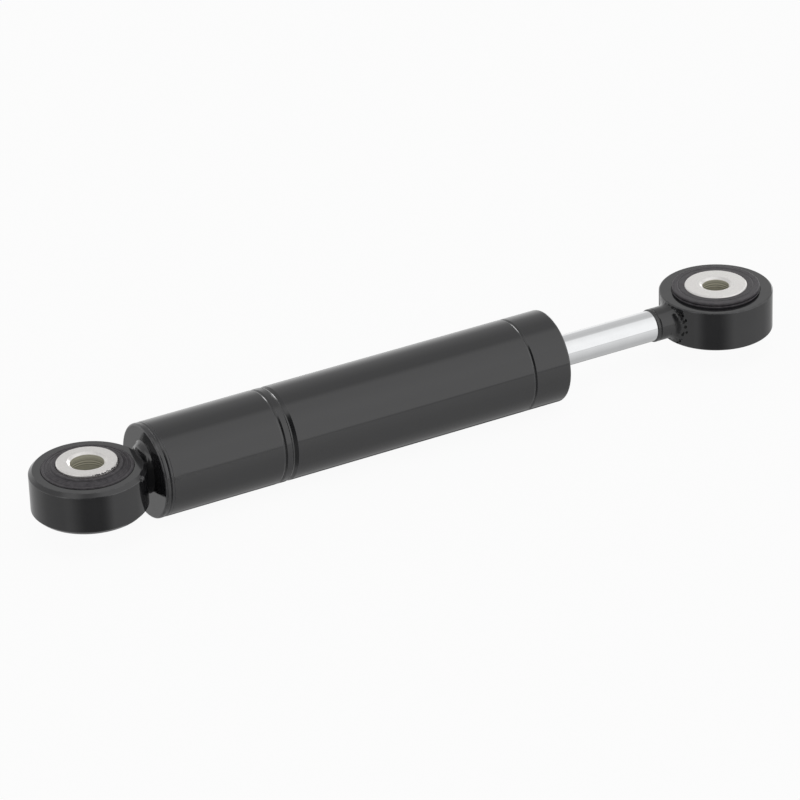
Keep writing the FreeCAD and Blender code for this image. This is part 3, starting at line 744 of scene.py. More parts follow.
SPRING_STEEL = TurnedFinish(Slot.SPRING_STEEL, (0.3, 0.31, 0.34), (0.42, 0.43, 0.46), 0.2, 0.32)
SINTERED_IRON = TurnedFinish(Slot.SINTERED, (0.18, 0.18, 0.19), (0.28, 0.28, 0.29), 0.4, 0.6,
                             mark_depth=0.008 * MM, cloud_pitch=0.8 * MM)
ALUMINIUM = TurnedFinish(Slot.ALUMINIUM, (0.66, 0.67, 0.68), (0.8, 0.81, 0.82), 0.22, 0.36)
BRONZE = TurnedFinish(Slot.BRONZE, (0.46, 0.3, 0.15), (0.6, 0.42, 0.23), 0.25, 0.4)
FINISHES = {finish.slot: finish for finish in (
    BLACK_PAINT, BUSH_RUBBER, ZINC, CHROME, PLAIN_STEEL, SPRING_STEEL, SINTERED_IRON, ALUMINIUM, BRONZE,
    BAND_PLASTIC, SEAL_RUBBER)}


# Pieces and sub-assemblies

@dataclass(frozen=True)
class Piece:
    """A finished mesh, with its finish, the body that carries it and the nodes that it stands for."""

    thing: Object
    finish: Finish
    body: Body
    nodes: tuple[str, ...] = ()

    def dress(self) -> None:
        """Cover the piece with its finish."""
        self.thing.data.materials.clear()
        self.thing.data.materials.append(self.finish.material())

    def fasten(self) -> None:
        """Fasten the piece to its body in the frame."""
        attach(self.thing, self.body.value)
        if self.nodes:
            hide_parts(*self.nodes)
        faces = len(self.thing.data.polygons)
        LOG.info("%s rides on %s with %d faces", self.thing.name, self.body.value, faces)


@dataclass
class SubAssembly:
    """A group of pieces that is built together and rides on one body."""

    pieces: list[Piece] = field(default_factory=list, init=False)
    body: Body = field(default=Body.BARREL, kw_only=True)

    def build(self) -> None:
        """Make the pieces."""
        raise NotImplementedError

    def keep(self, thing: Object, finish: Finish, *nodes: str) -> None:
        """Keep a piece and the nodes that it stands for."""
        self.pieces.append(Piece(thing, finish, self.body, nodes))

    def turn(self, name: str, node: str, finish: Finish, lathe: Lathe, corners: Sequence[Corner]) -> None:
        """Turn the piece that stands for a node."""
        self.keep(lathe.turn(name, corners), finish, node)

    def dress(self) -> None:
        """Build the pieces, cover each with its finish and fasten it."""
        self.build()
        for piece in self.pieces:
            piece.dress()
            piece.fasten()


# Shapes along a path

class Motif(Enum):
    """What stands at each point of a path."""

    DROP = "drop"
    TURN = "turn"


@dataclass(frozen=True)
class PathScatter:
    """Sets many small shapes along a path; their size is across it, up and along it, in mm."""

    name: str
    motif: Motif
    count: int
    size: Place
    uneven: float = 0.0
    spread: float = 0.0
    edge: float = 0.0
    seed: int = SEED

    def build(self, path: np.ndarray, closed: bool, finish: Finish) -> Object:
        """Set the shapes and keep the result as a plain mesh.

        Args:
            path: The points of the path in millimetres.
            closed: Whether the path ends where it starts.
            finish: The finish of the shapes.

        Returns:
            The finished piece.
        """
        count = len(path)
        edges = [(index, (index + 1) % count) for index in range(count if closed else count - 1)]
        guide_mesh = bpy.data.meshes.new(f"{self.name}_path")
        guide_mesh.from_pydata((path * MM).tolist(), edges, [])
        guide = new_object(f"{self.name}_path", guide_mesh)
        modifier = guide.modifiers.new("scatter", "NODES")
        modifier.node_group = self.tree(self.motif)
        values = {"Count": self.count, "Size": [part * MM for part in self.size], "Uneven": self.uneven,
                  "Spread": self.spread * MM, "Edge": self.edge, "Seed": self.seed,
                  "Material": finish.material()}
        for item in modifier.node_group.interface.items_tree:
            if item.name in values:
                modifier[item.identifier] = values[item.name]
        graph = bpy.context.evaluated_depsgraph_get()
        mesh = bpy.data.meshes.new_from_object(guide.evaluated_get(graph), preserve_all_data_layers=True,
                                               depsgraph=graph)
        bpy.data.objects.remove(guide)
        bpy.data.meshes.remove(guide_mesh)
        mesh.name = self.name
        return new_object(self.name, mesh)

    @staticmethod
    @cache
    def tree(motif: Motif) -> NodeTree:
        """Draw the tree for a motif the first time.

        Args:
            motif: A drop, or one turn of wire.

        Returns:
            The tree.
        """
        sheet = NodeSheet(bpy.data.node_groups.new(f"path_scatter_{motif.value}", "GeometryNodeTree"))
        entry, leave = sheet.sockets(
            {"Path": "Geometry", "Count": "Int", "Size": "Vector", "Uneven": "Float", "Spread": "Float",
             "Edge": "Float", "Seed": "Int", "Material": "Material"}, {"Shapes": "Geometry"})
        curve = sheet.chain("GeometryNodeMeshToCurve", Mesh=entry["Path"])
        level = sheet.chain("GeometryNodeSetCurveNormal", mode="Z_UP", Curve=curve)
        count = entry["Count"]
        spots = sheet.add("GeometryNodeCurveToPoints", mode="COUNT", Curve=level, Count=count).outputs
        shake = sheet.scaled(sheet.random((-1.0, -1.0, -1.0), EVEN, entry["Seed"]), entry["Spread"])
        points = sheet.chain("GeometryNodeSetPosition", Geometry=spots["Points"], Offset=shake)
        if motif is Motif.DROP:
            shape = sheet.chain("GeometryNodeMeshIcoSphere", Radius=0.5, Subdivisions=3)
        else:
            loop = sheet.chain("GeometryNodeCurvePrimitiveCircle", Radius=0.39, Resolution=20)
            wire = sheet.chain("GeometryNodeCurvePrimitiveCircle", Radius=0.11, Resolution=10)
            shape = sheet.chain("GeometryNodeCurveToMesh", Curve=loop, Profile_Curve=wire)
        smooth = sheet.chain("GeometryNodeSetShadeSmooth", Geometry=shape)
        marked = sheet.chain("GeometryNodeStoreNamedAttribute", data_type="FLOAT", domain="POINT",
                             Geometry=smooth, Name=EDGE_MARK, Value=entry["Edge"])
        size = sheet.random(sheet.math("SUBTRACT", 1.0, entry["Uneven"]), 1.0, entry["Seed"])
        instances = sheet.chain("GeometryNodeInstanceOnPoints", Points=points, Instance=marked,
                                Rotation=spots["Rotation"], Scale=sheet.scaled(entry["Size"], size))
        plain = sheet.chain("GeometryNodeRealizeInstances", Geometry=instances)
        covered = sheet.chain("GeometryNodeSetMaterial", Geometry=plain, Material=entry["Material"])
        sheet.feed(leave["Shapes"], covered)
        return sheet.tree


def front_arc(radius: float, height: float, degrees: np.ndarray) -> np.ndarray:
    """Draw a level arc round the body eye, with angles from the front towards the rod."""
    turn = np.radians(degrees)
    return np.column_stack((radius * np.sin(turn), -radius * np.cos(turn), np.full_like(turn, height)))


# Eyes

@dataclass
class EyeRing(SubAssembly):
    """The forged ring of an eye."""

    node: str
    wall: float
    chamfer: float

    def build(self) -> None:
        """Turn the ring."""
        size = Envelope.of(self.node)
        lathe = Lathe(Axis.UPRIGHT, size.centre, FINE_SEGMENTS)
        self.turn(f"{self.node}_forging", self.node, BLACK_PAINT, lathe, mirrored([
            Corner(size.top - self.chamfer, size.radius, ROUND),
            Corner(size.top, size.radius - self.chamfer, ROUND),
            Corner(size.top, size.radius - self.wall, SOFT),
        ]))


@dataclass
class Sleeve(SubAssembly):
    """The zinc plated sleeve that a bolt clamps."""

    node: str
    mount: str
    mouth: float = 0.85
    mouth_slope: float = 0.8
    edge: float = 0.35

    def build(self) -> None:
        """Turn the sleeve with its countersunk mouths and the bore of the record's mount."""
        size = Envelope.of(self.node)
        mounts = {mount["name"]: mount for mount in frame["record"]["mounts"]}
        bore = mounts[self.mount]["dims"]["r_mm"]
        finish = replace(ZINC, variant=f"_{self.body.value}", centre=size.centre, bore_radius=bore)
        self.turn(f"{self.node}_turned", self.node, finish, Lathe(Axis.UPRIGHT, size.centre), mirrored([
            Corner(size.top - self.edge, size.radius, NEAT),
            Corner(size.top, size.radius - self.edge, NEAT),
            Corner(size.top, bore + self.mouth, SOFT),
            Corner(size.top - self.mouth * self.mouth_slope, bore, SOFT),
        ]))


@dataclass
class BodyRubber(SubAssembly):
    """The body eye's rubber, moulded with low rings round the sleeve, and the flash left on the sleeve."""

    bead_width: float = 1.3
    bead_step: float = 0.5
    bead_slope: float = 0.3
    rim_rise: float = 0.4
    lip_width: float = 0.7
    lip_drop: float = 0.3
    lip_inset: float = 0.1
    ridge_width: float = 0.5
    ridge_rise: float = 0.16
    mouth_width: float = 0.2
    mouth_drop: float = 0.1
    mouth_depth: float = 0.5
    flash_start: float = -15.0
    flash_end: float = 75.0
    flash: PathScatter = PathScatter("body_bush_flash", Motif.DROP, 40, (0.6, 0.5, 0.55), 0.7, 0.12)

    def build(self) -> None:
        """Turn the rubber and set the flash along the sleeve."""
        size = Envelope.of("body_bush_rubber")
        sleeve = Envelope.of("body_bush_sleeve")
        inner = sleeve.radius + FIT_GAP
        bead = inner + self.bead_width
        rim = Envelope.of("body_eye_ring").top + self.rim_rise
        lip = size.radius - self.lip_width
        ridge = (lip + bead) / 2
        ridge_level = (rim - self.lip_drop / 2 + size.top - self.bead_step) / 2
        self.turn("body_bush_moulding", "body_bush_rubber", BUSH_RUBBER, Lathe(Axis.UPRIGHT), mirrored([
            Corner(rim - self.lip_drop, size.radius, FINE),
            Corner(rim, size.radius - self.lip_inset, NEAT),
            Corner(rim, lip, SOFT),
            Corner(rim - self.lip_drop / 2, lip - self.bead_slope, SOFT),
            Corner(ridge_level, ridge + self.ridge_width / 2, FINE),
            Corner(ridge_level + self.ridge_rise, ridge, SOFT),
            Corner(ridge_level, ridge - self.ridge_width / 2, FINE),
            Corner(size.top - self.bead_step, bead + self.bead_slope, MILD),
            Corner(size.top, bead, MILD),
            Corner(size.top - self.mouth_drop, inner + self.mouth_width, SOFT),
            Corner(size.top - self.mouth_depth, inner),
        ]))
        across, rise, _ = self.flash.size
        angles = np.linspace(self.flash_start, self.flash_end, self.flash.count)
        arc = front_arc(sleeve.radius - across / 4, sleeve.top - rise / 2, angles)
        self.keep(self.flash.build(arc, False, BUSH_RUBBER), BUSH_RUBBER)


@dataclass
class RodRubber(SubAssembly):
    """The rod eye's rubber, a flat pad that stands above the ring."""

    lip_height: float = 0.8
    foot_height: float = 0.3
    undercut: float = 0.6
    slant: float = 0.05
    lean: float = 0.1
    edge: float = 0.55
    groove_width: float = 0.5
    groove_depth: float = 0.12
    mouth_width: float = 0.2
    mouth_depth: float = 0.3

    def build(self) -> None:
        """Turn the pad with one shallow ring in its face."""
        size = Envelope.of("rod_bush_rubber")
        inner = Envelope.of("rod_bush_sleeve").radius + FIT_GAP
        foot = Envelope.of("rod_eye_ring").top + self.foot_height
        lip = size.top - self.lip_height
        middle = (size.radius + inner) / 2
        half = self.groove_width / 2
        lathe = Lathe(Axis.UPRIGHT, size.centre)
        self.turn("rod_bush_moulding", "rod_bush_rubber", BUSH_RUBBER, lathe, mirrored([
            Corner(foot, size.radius, SOFT),
            Corner(foot + self.slant, size.radius - self.undercut, CRISP),
            Corner(lip, size.radius - self.undercut, CRISP),
            Corner(lip + self.slant, size.radius, EASED),
            Corner(size.top, size.radius - self.lean, self.edge),
            Corner(size.top, middle + half, SOFT),
            Corner(size.top - self.groove_depth, middle, EASED),
            Corner(size.top, middle - half, SOFT),
            Corner(size.top, inner + self.mouth_width, NEAT),
            Corner(size.top - self.mouth_depth, inner),
        ]))


# Barrel

@dataclass
class BaseCap(SubAssembly):
    """The welded cap that closes the tube, and its seam."""

    boss_radius: float = 6.2
    boss_root: float = 2.75
    boss_fillet: float = 0.6
    edge: float = 0.8
    plug_inset: float = 2.05
    plug_wall: float = 3.0
    plug_edge: float = 0.6
    floor: float = 4.0
    seam_depth: float = 0.3
    seam_run: float = 0.5

    def build(self) -> None:
        """Turn the cap and the seam weld."""
        seam = Envelope.of("base_seam_weld")
        end = Envelope.of("base_cap").end
        outside = Envelope.of("outer_tube").radius
        face = seam.start - CAP_FLANGE
        plug = outside - self.plug_inset
        hollow = plug - self.plug_wall
        lathe = Lathe(segments=FINE_SEGMENTS)
        self.turn("base_cap_turned", "base_cap", BLACK_PAINT, lathe, [
            Corner(face - self.boss_root, 0),
            Corner(face - self.boss_root, self.boss_radius, EASED),
            Corner(face, self.boss_radius, self.boss_fillet),
            Corner(face, outside, self.edge),
            Corner(seam.start, outside, ROUND),
            Corner(seam.start, plug),
            Corner(end, plug, self.plug_edge),
            Corner(end, hollow, ROUND),
            Corner(face + self.floor, hollow, ROUND),
            Corner(face + self.floor, 0),
        ])
        self.turn("base_seam_bead", "base_seam_weld", BLACK_PAINT, lathe, [
            Corner(seam.start, plug + SEAT_GAP),
            Corner(seam.start, outside - self.seam_depth),
            Corner(seam.start + self.seam_run, outside - FIT_GAP, EASED),
            Corner(seam.end, outside - FIT_GAP),
            Corner(seam.end, plug + SEAT_GAP),
        ])


@dataclass(frozen=True)
class RolledGroove:
    """A rolled groove with a soft shoulder, a steep wall and a long slope, and its bead inside the tube."""

    place: float
    width: float
    shoulder: float
    shoulder_fall: float = 0.4
    wall: float = 0.08
    slope_fall: float = 0.5
    bead: float = 0.45
    bead_slope: float = 0.4

    def mouth(self, surface: float) -> list[Corner]:
        """Draw the groove from left to right.

        Args:
            surface: The radius of the surface that it is rolled into.

        Returns:
            Its corners.
        """
        left = self.place - self.width / 2
        lip = left + self.shoulder
        slope = self.width - self.shoulder - self.wall
        return [
            Corner(left, surface, ROUND),
            Corner(lip, surface - self.shoulder_fall * self.shoulder, CRISP),
            Corner(lip + self.wall, surface - self.slope_fall * slope, CRISP),
            Corner(left + self.width, surface, CRISP),
        ]

    def inside(self, bore: float) -> list[Corner]:
        """Draw the bead from right to left.

        Args:
            bore: The radius of the bore that it stands in.

        Returns:
            Its corners.
        """
        half = self.width / 2
        crest = half - self.bead_slope
        return [
            Corner(self.place + half, bore, SOFT),
            Corner(self.place + crest, bore - self.bead, KEEN),
            Corner(self.place - crest, bore - self.bead, KEEN),
            Corner(self.place - half, bore, SOFT),
        ]


@dataclass
class Tube(SubAssembly):
    """The outer tube with its rolled grooves and rolled-over end."""

    wall: float = 2.0
    first_groove: float = 38.1
    groove_pitch: float = 3.5
    head_groove: float = 13.0
    line_offset: float = 1.1
    lip_thickness: float = 1.6
    lip_reach: float = 3.0
    lip_edge: float = 0.5
    lip_back: float = 0.4
    end_radius: float = 0.65

    def build(self) -> None:
        """Turn the tube, with a fine line just before the second groove."""
        size = Envelope.of("outer_tube")
        bore = size.radius - self.wall
        hole = bore - self.lip_reach
        first = size.start + self.first_groove
        second = first + self.groove_pitch
        grooves = [
            RolledGroove(first, width=1.2, shoulder=0.55),
            RolledGroove(second, width=1.8, shoulder=0.5),
            RolledGroove(size.end - self.head_groove, width=1.1, shoulder=0.45),
        ]
        line = RolledGroove(second - self.line_offset, width=0.3, shoulder=0.08, wall=0.04)
        outside = sorted([*grooves, line], key=lambda groove: groove.place)
        self.turn("outer_tube_rolled", "outer_tube", BLACK_PAINT, Lathe(segments=FINE_SEGMENTS), [
            Corner(size.start, bore),
            Corner(size.start, size.radius, SOFT),
            *(corner for groove in outside for corner in groove.mouth(size.radius)),
            Corner(size.end, size.radius, self.end_radius),
            Corner(size.end, hole, self.lip_edge),
            Corner(size.end - self.lip_thickness, hole, self.lip_back),
            Corner(size.end - self.lip_thickness, bore),
            *(corner for groove in reversed(grooves) for corner in groove.inside(bore)),
        ])


@dataclass
class RodHead(SubAssembly):
    """The rod head inside the rolled lip: support washer, wiper and the seal's garter spring."""

    lip_width: float = 0.6
    seat_depth: float = 1.2
    path_points: int = 96
    spring: PathScatter = PathScatter("rod_seal_garter_coil", Motif.TURN, 64, EVEN)

    def build(self) -> None:
        """Turn the washer and the wiper, and set the turns of the garter spring round the seal."""
        washer = Envelope.of("seal_support_washer")
        wiper = Envelope.of("wiper_ring")
        rod = Envelope.of("piston_rod").radius
        hole = rod + self.lip_width
        seat = washer.end - self.seat_depth
        self.turn("seal_support_washer_turned", "seal_support_washer", PLAIN_STEEL, Lathe(), [
            Corner(washer.start, hole, FINE),
            Corner(washer.start, washer.radius, EASED),
            Corner(washer.end, washer.radius, EASED),
            Corner(washer.end, wiper.radius + SEAT_GAP, SOFT),
            Corner(seat, wiper.radius + SEAT_GAP),
            Corner(seat, hole, FINE),
        ])
        inner = rod + FIT_GAP
        self.turn("wiper_ring_moulded", "wiper_ring", SEAL_RUBBER, Lathe(), [
            Corner(wiper.start, inner + self.lip_width),
            Corner(wiper.start, wiper.radius, FINE),
            Corner(washer.end, wiper.radius, EASED),
            Corner(wiper.end, inner + self.lip_width, SOFT),
            Corner(wiper.end, inner, KEEN),
        ])
        size = Envelope.of("rod_seal_garter_spring")
        thick = size.end - size.start
        reach = size.radius - thick / 2
        turn = np.linspace(0, 2 * math.pi, self.path_points, endpoint=False)
        level = np.full_like(turn, size.centre)
        circle = np.column_stack((level, reach * np.cos(turn), reach * np.sin(turn)))
        coil = replace(self.spring, size=(thick, thick, thick)).build(circle, True, SPRING_STEEL)
        self.keep(coil, SPRING_STEEL, "rod_seal_garter_spring")


# Rod

@dataclass
class PistonRod(SubAssembly):
    """The chromed rod, its spigot and the neck of its eye."""

    thread_radius: float = 3.5
    shoulder: float = 20.6
    edge: float = 0.5
    clip_offset: float = 22.2
    clip_width: float = 1.2
    clip_depth: float = 0.8
    collar: float = 1.3
    line_half: float = 0.3
    line_depth: float = 0.15
    neck_bite: float = 0.6

    def build(self) -> None:
        """Turn the rod, and the neck with a shallow line behind its collar."""
        rod = Envelope.of("piston_rod")
        neck = Envelope.of("rod_eye_neck")
        clip = rod.start + self.clip_offset
        clip_floor = rod.radius - self.clip_depth
        shoulder = rod.start + self.shoulder
        self.turn("piston_rod_ground", "piston_rod", CHROME, Lathe(), [
            Corner(rod.start, 0),
            Corner(rod.start, self.thread_radius, self.edge),
            Corner(shoulder, self.thread_radius, FINE),
            Corner(shoulder, rod.radius, self.edge),
            Corner(clip, rod.radius, CRISP),
            Corner(clip, clip_floor, CRISP),
            Corner(clip + self.clip_width, clip_floor, CRISP),
            Corner(clip + self.clip_width, rod.radius, CRISP),
            Corner(neck.start, rod.radius, CRISP),
            Corner(neck.start, self.thread_radius),
            Corner(rod.end, self.thread_radius, FINE),
            Corner(rod.end, 0),
        ])
        line = neck.start + self.collar
        end = neck.end + self.neck_bite
        hole = self.thread_radius + SEAT_GAP
        self.turn("rod_eye_neck_turned", "rod_eye_neck", BLACK_PAINT, Lathe(), [
            Corner(neck.start, hole),
            Corner(neck.start, neck.radius, ROUND),
            Corner(line - self.line_half, neck.radius, NEAT),
            Corner(line, neck.radius - self.line_depth, FINE),
            Corner(line + self.line_half, neck.radius, NEAT),
            Corner(end, neck.radius, EASED),
            Corner(end, hole),
        ])


# Welds

@dataclass(frozen=True)
class RoundWall:
    """The chamfered round wall of an eye ring, met from the damper's axis; side is 1 towards +X, -1 away."""

    node: str
    chamfer: float
    side: int

    def along(self, across: np.ndarray, height: np.ndarray) -> np.ndarray:
        """Find where the wall is along the damper.

        Args:
            across: Distances to the side of the damper's axis.
            height: Heights above the damper's axis.

        Returns:
            The place of the wall at each point, with heights above the ring held at its top.
        """
        size = Envelope.of(self.node)
        level = np.minimum(np.abs(height), size.top)
        radius = size.radius - np.maximum(level - (size.top - self.chamfer), 0)
        return size.centre + self.side * np.sqrt(radius ** 2 - across ** 2)


@dataclass(frozen=True)
class Ripples:
    """The overlapping scallops that a welder leaves, drawn with a fixed seed."""

    count: int
    height: float
    seed: int
    least: float = 0.35
    shift: float = 0.25
    power: float = 0.7

    def at(self, angles: np.ndarray) -> np.ndarray:
        """Find how high the scallops stand.

        Args:
            angles: The angles round the bead.

        Returns:
            The height at each angle.
        """
        draw = np.random.default_rng(self.seed)
        tall = draw.uniform(self.least, 1.0, self.count)
        shift = draw.uniform(-self.shift, self.shift, self.count)
        place = angles / (2 * math.pi) * self.count
        index = np.floor(place).astype(int) % self.count
        inside = np.clip(place - np.floor(place) + shift[index] * np.sin(math.pi * (place % 1)), 0, 1)
        return self.height * tall[index] * np.sin(math.pi * inside) ** self.power


@dataclass(frozen=True)
class WeldBead:
    """Sweeps a bead round the damper's axis between stations that change with the angle."""

    steps: int = 22
    count: int = 360

    @property
    def angles(self) -> np.ndarray:
        """The angles of the sections round the axis, from +Y towards +Z."""
        return np.linspace(0, 2 * math.pi, self.count, endpoint=False)

    def station(self, along: object, radius: object) -> np.ndarray:
        """Give one point of the section at every angle, from numbers or arrays."""
        level = np.ones(self.count)
        return np.column_stack((level * along, level * radius))

    def curve(self, *stations: np.ndarray) -> np.ndarray:
        """Draw a smooth curve at every angle.

        Args:
            *stations: Where it starts, the stations that pull it, and where it ends.

        Returns:
            The points of the curve.
        """
        share = np.linspace(0, 1, self.steps)[None, :, None]
        order = len(stations) - 1
        pulls = (math.comb(order, index) * share ** index * (1 - share) ** (order - index)
                 for index in range(len(stations)))
        return sum(pull * station[:, None] for pull, station in zip(pulls, stations))

    def sweep(self, name: str, face: np.ndarray, *back: np.ndarray) -> Object:
        """Close the visible face with the stations behind it and join the sections.

        Args:
            name: The name of the piece.
            face: The points of the visible face at each angle.
            *back: The stations that close the section inside the metal.

        Returns:
            The closed bead.
        """
        sections = np.concatenate((face, np.stack(back, axis=1)), axis=1)
        points = sections.shape[1]
        turn = self.angles[:, None]
        along, radius = sections[..., 0], sections[..., 1]
        places = np.stack((along, radius * np.cos(turn), radius * np.sin(turn)), axis=-1).reshape(-1, 3)
        faces = []
        for row in range(self.count):
            here, ahead = row * points, (row + 1) % self.count * points
            for column in range(points):
                beside = (column + 1) % points
                faces.append((here + column, ahead + column, ahead + beside, here + beside))
        return finished_object(name, places, faces, np.zeros(len(places)))


@dataclass
class NeckWeld(SubAssembly):
    """The weld that flares the neck into the wall of the rod eye's ring, with the drops at its toe."""

    wall: RoundWall = RoundWall("rod_eye_ring", 0.3, -1)
    neck_leg: float = 2.8
    neck_sink: float = 0.02
    ring_leg: float = 2.4
    ring_sink: float = 0.03
    edge_margin: float = 0.35
    root_depth: float = 0.6
    root_bite: float = 0.9
    toe_depth: float = 0.4
    toe_bite: float = 0.8
    ripple_lean: tuple[float, float] = (-0.8, 0.6)
    ripple_fade: float = 6.0
    blend_power: int = 8
    least_sine: float = 1e-3
    bead: WeldBead = WeldBead()
    ripples: Ripples = Ripples(26, 0.2, SEED)
    drops_start: int = 100
    drops_end: int = 235
    drops: PathScatter = PathScatter("rod_eye_weld_drops", Motif.DROP, 18, (0.9, 0.9, 1.2), 0.6, 0.6)

    def toe(self, neck: float) -> np.ndarray:
        """Find where the weld ends on the ring, short of the ring's edge.

        Args:
            neck: The radius of the neck.

        Returns:
            The distance from the axis at each angle.
        """
        reach = neck + self.ring_leg
        height = Envelope.of(self.wall.node).top - self.edge_margin
        limit = height / np.maximum(np.abs(np.sin(self.bead.angles)), self.least_sine)
        return (reach ** -self.blend_power + limit ** -self.blend_power) ** (-1 / self.blend_power)

    def build(self) -> None:
        """Sweep the weld and set the drops along its toe."""
        neck = Envelope.of("rod_eye_neck").radius
        bead = self.bead
        sine, cosine = np.sin(bead.angles), np.cos(bead.angles)
        corner = self.wall.along(neck * cosine, neck * sine)
        reach = self.toe(neck)
        toe = self.wall.along(reach * cosine, reach * sine)
        start = corner - self.neck_leg
        face = bead.curve(bead.station(start, neck - self.neck_sink), bead.station(corner, neck),
                          bead.station(toe + self.ring_sink, reach))
        share = np.linspace(0, 1, bead.steps)
        fade = share ** 2 * np.minimum(1, self.ripple_fade * (1 - share))
        lift = self.ripples.at(bead.angles)[:, None] * fade[None, :]
        face += lift[..., None] * np.array(self.ripple_lean)
        root = neck - self.root_depth
        weld = bead.sweep("rod_eye_weld_bead", face,
                          bead.station(toe + self.toe_bite, reach - self.toe_depth),
                          bead.station(corner + self.root_bite, root), bead.station(start, root))
        self.keep(weld, BLACK_PAINT, "rod_eye_weld")
        toe_path = np.column_stack((toe, reach * cosine, reach * sine))[self.drops_start:self.drops_end]
        self.keep(self.drops.build(toe_path, False, WELD_SLAG), WELD_SLAG)


@dataclass
class BossWeld(SubAssembly):
    """The bead between the body eye's ring and the base cap, bulging at the top, and its spatter."""

    wall: RoundWall = RoundWall("body_eye_ring", 1.2, 1)
    root: float = 6.6
    crown: float = 6.7
    crown_offset: float = 0.1
    waist: float = 6.6
    waist_offset: float = 0.9
    waist_share: float = 0.6
    leg: float = 7.0
    leg_sink: float = 0.02
    bulge: float = 3.2
    depth: float = 0.5
    hole: float = 5.6
    bead: WeldBead = WeldBead()
    ripples: Ripples = Ripples(16, 0.06, SEED + 1)
    spatter_start: float = 38.0
    spatter_end: float = 41.0
    spatter_points: int = 6
    # The drops' edge mark of 1 lightens them with the paint's worn-and-highlight tone, a painted glint.
    spatter: PathScatter = PathScatter("body_eye_spatter", Motif.DROP, 3, (1.4, 1.7, 1.3), 0.4, 0.15, 1.0)

    def build(self) -> None:
        """Sweep the weld and set the spatter on the ring's edge."""
        ring = Envelope.of(self.wall.node)
        cap = Envelope.of("base_seam_weld").start - CAP_FLANGE
        bead = self.bead
        sine = np.sin(bead.angles)
        wall = self.wall.along(self.root * np.cos(bead.angles), self.root * sine)
        bulge = self.bulge * np.maximum(sine, 0) ** 2
        leg = self.leg + bulge
        face = bead.curve(bead.station(wall - self.depth, self.root),
                          bead.station(wall + self.crown_offset, self.crown + bulge),
                          bead.station(cap - self.waist_offset, self.waist + bulge * self.waist_share),
                          bead.station(cap + self.leg_sink, leg))
        window = np.sin(np.linspace(0, math.pi, bead.steps))
        face[..., 1] += self.ripples.at(bead.angles)[:, None] * window[None, :]
        weld = bead.sweep("body_eye_weld_bead", face, bead.station(cap + self.depth, leg),
                          bead.station(cap + self.depth, self.hole),
                          bead.station(wall - self.depth, self.hole))
        self.keep(weld, SOOTED_PAINT, "body_eye_weld")
        angles = np.linspace(self.spatter_start, self.spatter_end, self.spatter_points)
        arc = front_arc(ring.radius, ring.top - self.wall.chamfer, angles)
        self.keep(self.spatter.build(arc, False, BLACK_PAINT), BLACK_PAINT)


# Inner pieces

@dataclass
class IntakeSpring(SubAssembly):
    """The cone disc that presses on the intake plate and flattens as the plate lifts."""

    node: str = "intake_spring"
    name: str = "intake_cone_disc"
    joint: str = "intake_lift"
    thickness: float = 0.35
    neck: float = 5.3

    def build(self) -> None:
        """Turn the cone disc."""
        size = Envelope.of(self.node)
        self.turn(self.name, self.node, SPRING_STEEL, Lathe(), [
            Corner(size.start, size.radius, KEEN),
            Corner(size.start + self.thickness, size.radius, KEEN),
            Corner(size.end, self.neck, KEEN),
            Corner(size.end - self.thickness, self.neck, KEEN),
        ])

    def dress(self) -> None:
        """Dress the disc and give it a mesh of its own."""
        super().dress()
        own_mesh(bpy.data.objects[self.name])


@dataclass
class InnerPieces(SubAssembly):
    """The sealed pieces, which keep the frame's own shapes."""

    def dress(self) -> None:
        """Give each node that still shows the finish of its slot."""
        for subpart in frame["record"]["subparts"]:
            node = frame["nodes"][subpart["node"]]
            if not node.hide_render:
                node.data.materials.clear()
                node.data.materials.append(FINISHES[Slot(subpart["material_slot"])].material())
                LOG.info("%s keeps its shape in %s", node.name, subpart["material_slot"])


# Studio

@dataclass(frozen=True)
class SoftLamp:
    """A large soft lamp; its glow is the brightness of its face, where 1 is white."""

    name: str
    place: Place
    width: float
    height: float
    glow: float

    def hang(self, aim: Vector) -> None:
        """Hang the lamp and turn its face to a point.

        Args:
            aim: The point.
        """
        data = bpy.data.lights.new(self.name, "AREA")
        data.shape = "RECTANGLE"
        data.size = self.width
        data.size_y = self.height
        data.energy = self.glow * math.pi * self.width * self.height
        lamp = new_object(self.name, data)
        lamp.location = self.place
        lamp.rotation_euler = (aim - Vector(self.place)).to_track_quat("-Z", "Y").to_euler()
        lamp.visible_camera = False
        lamp.visible_glossy = False


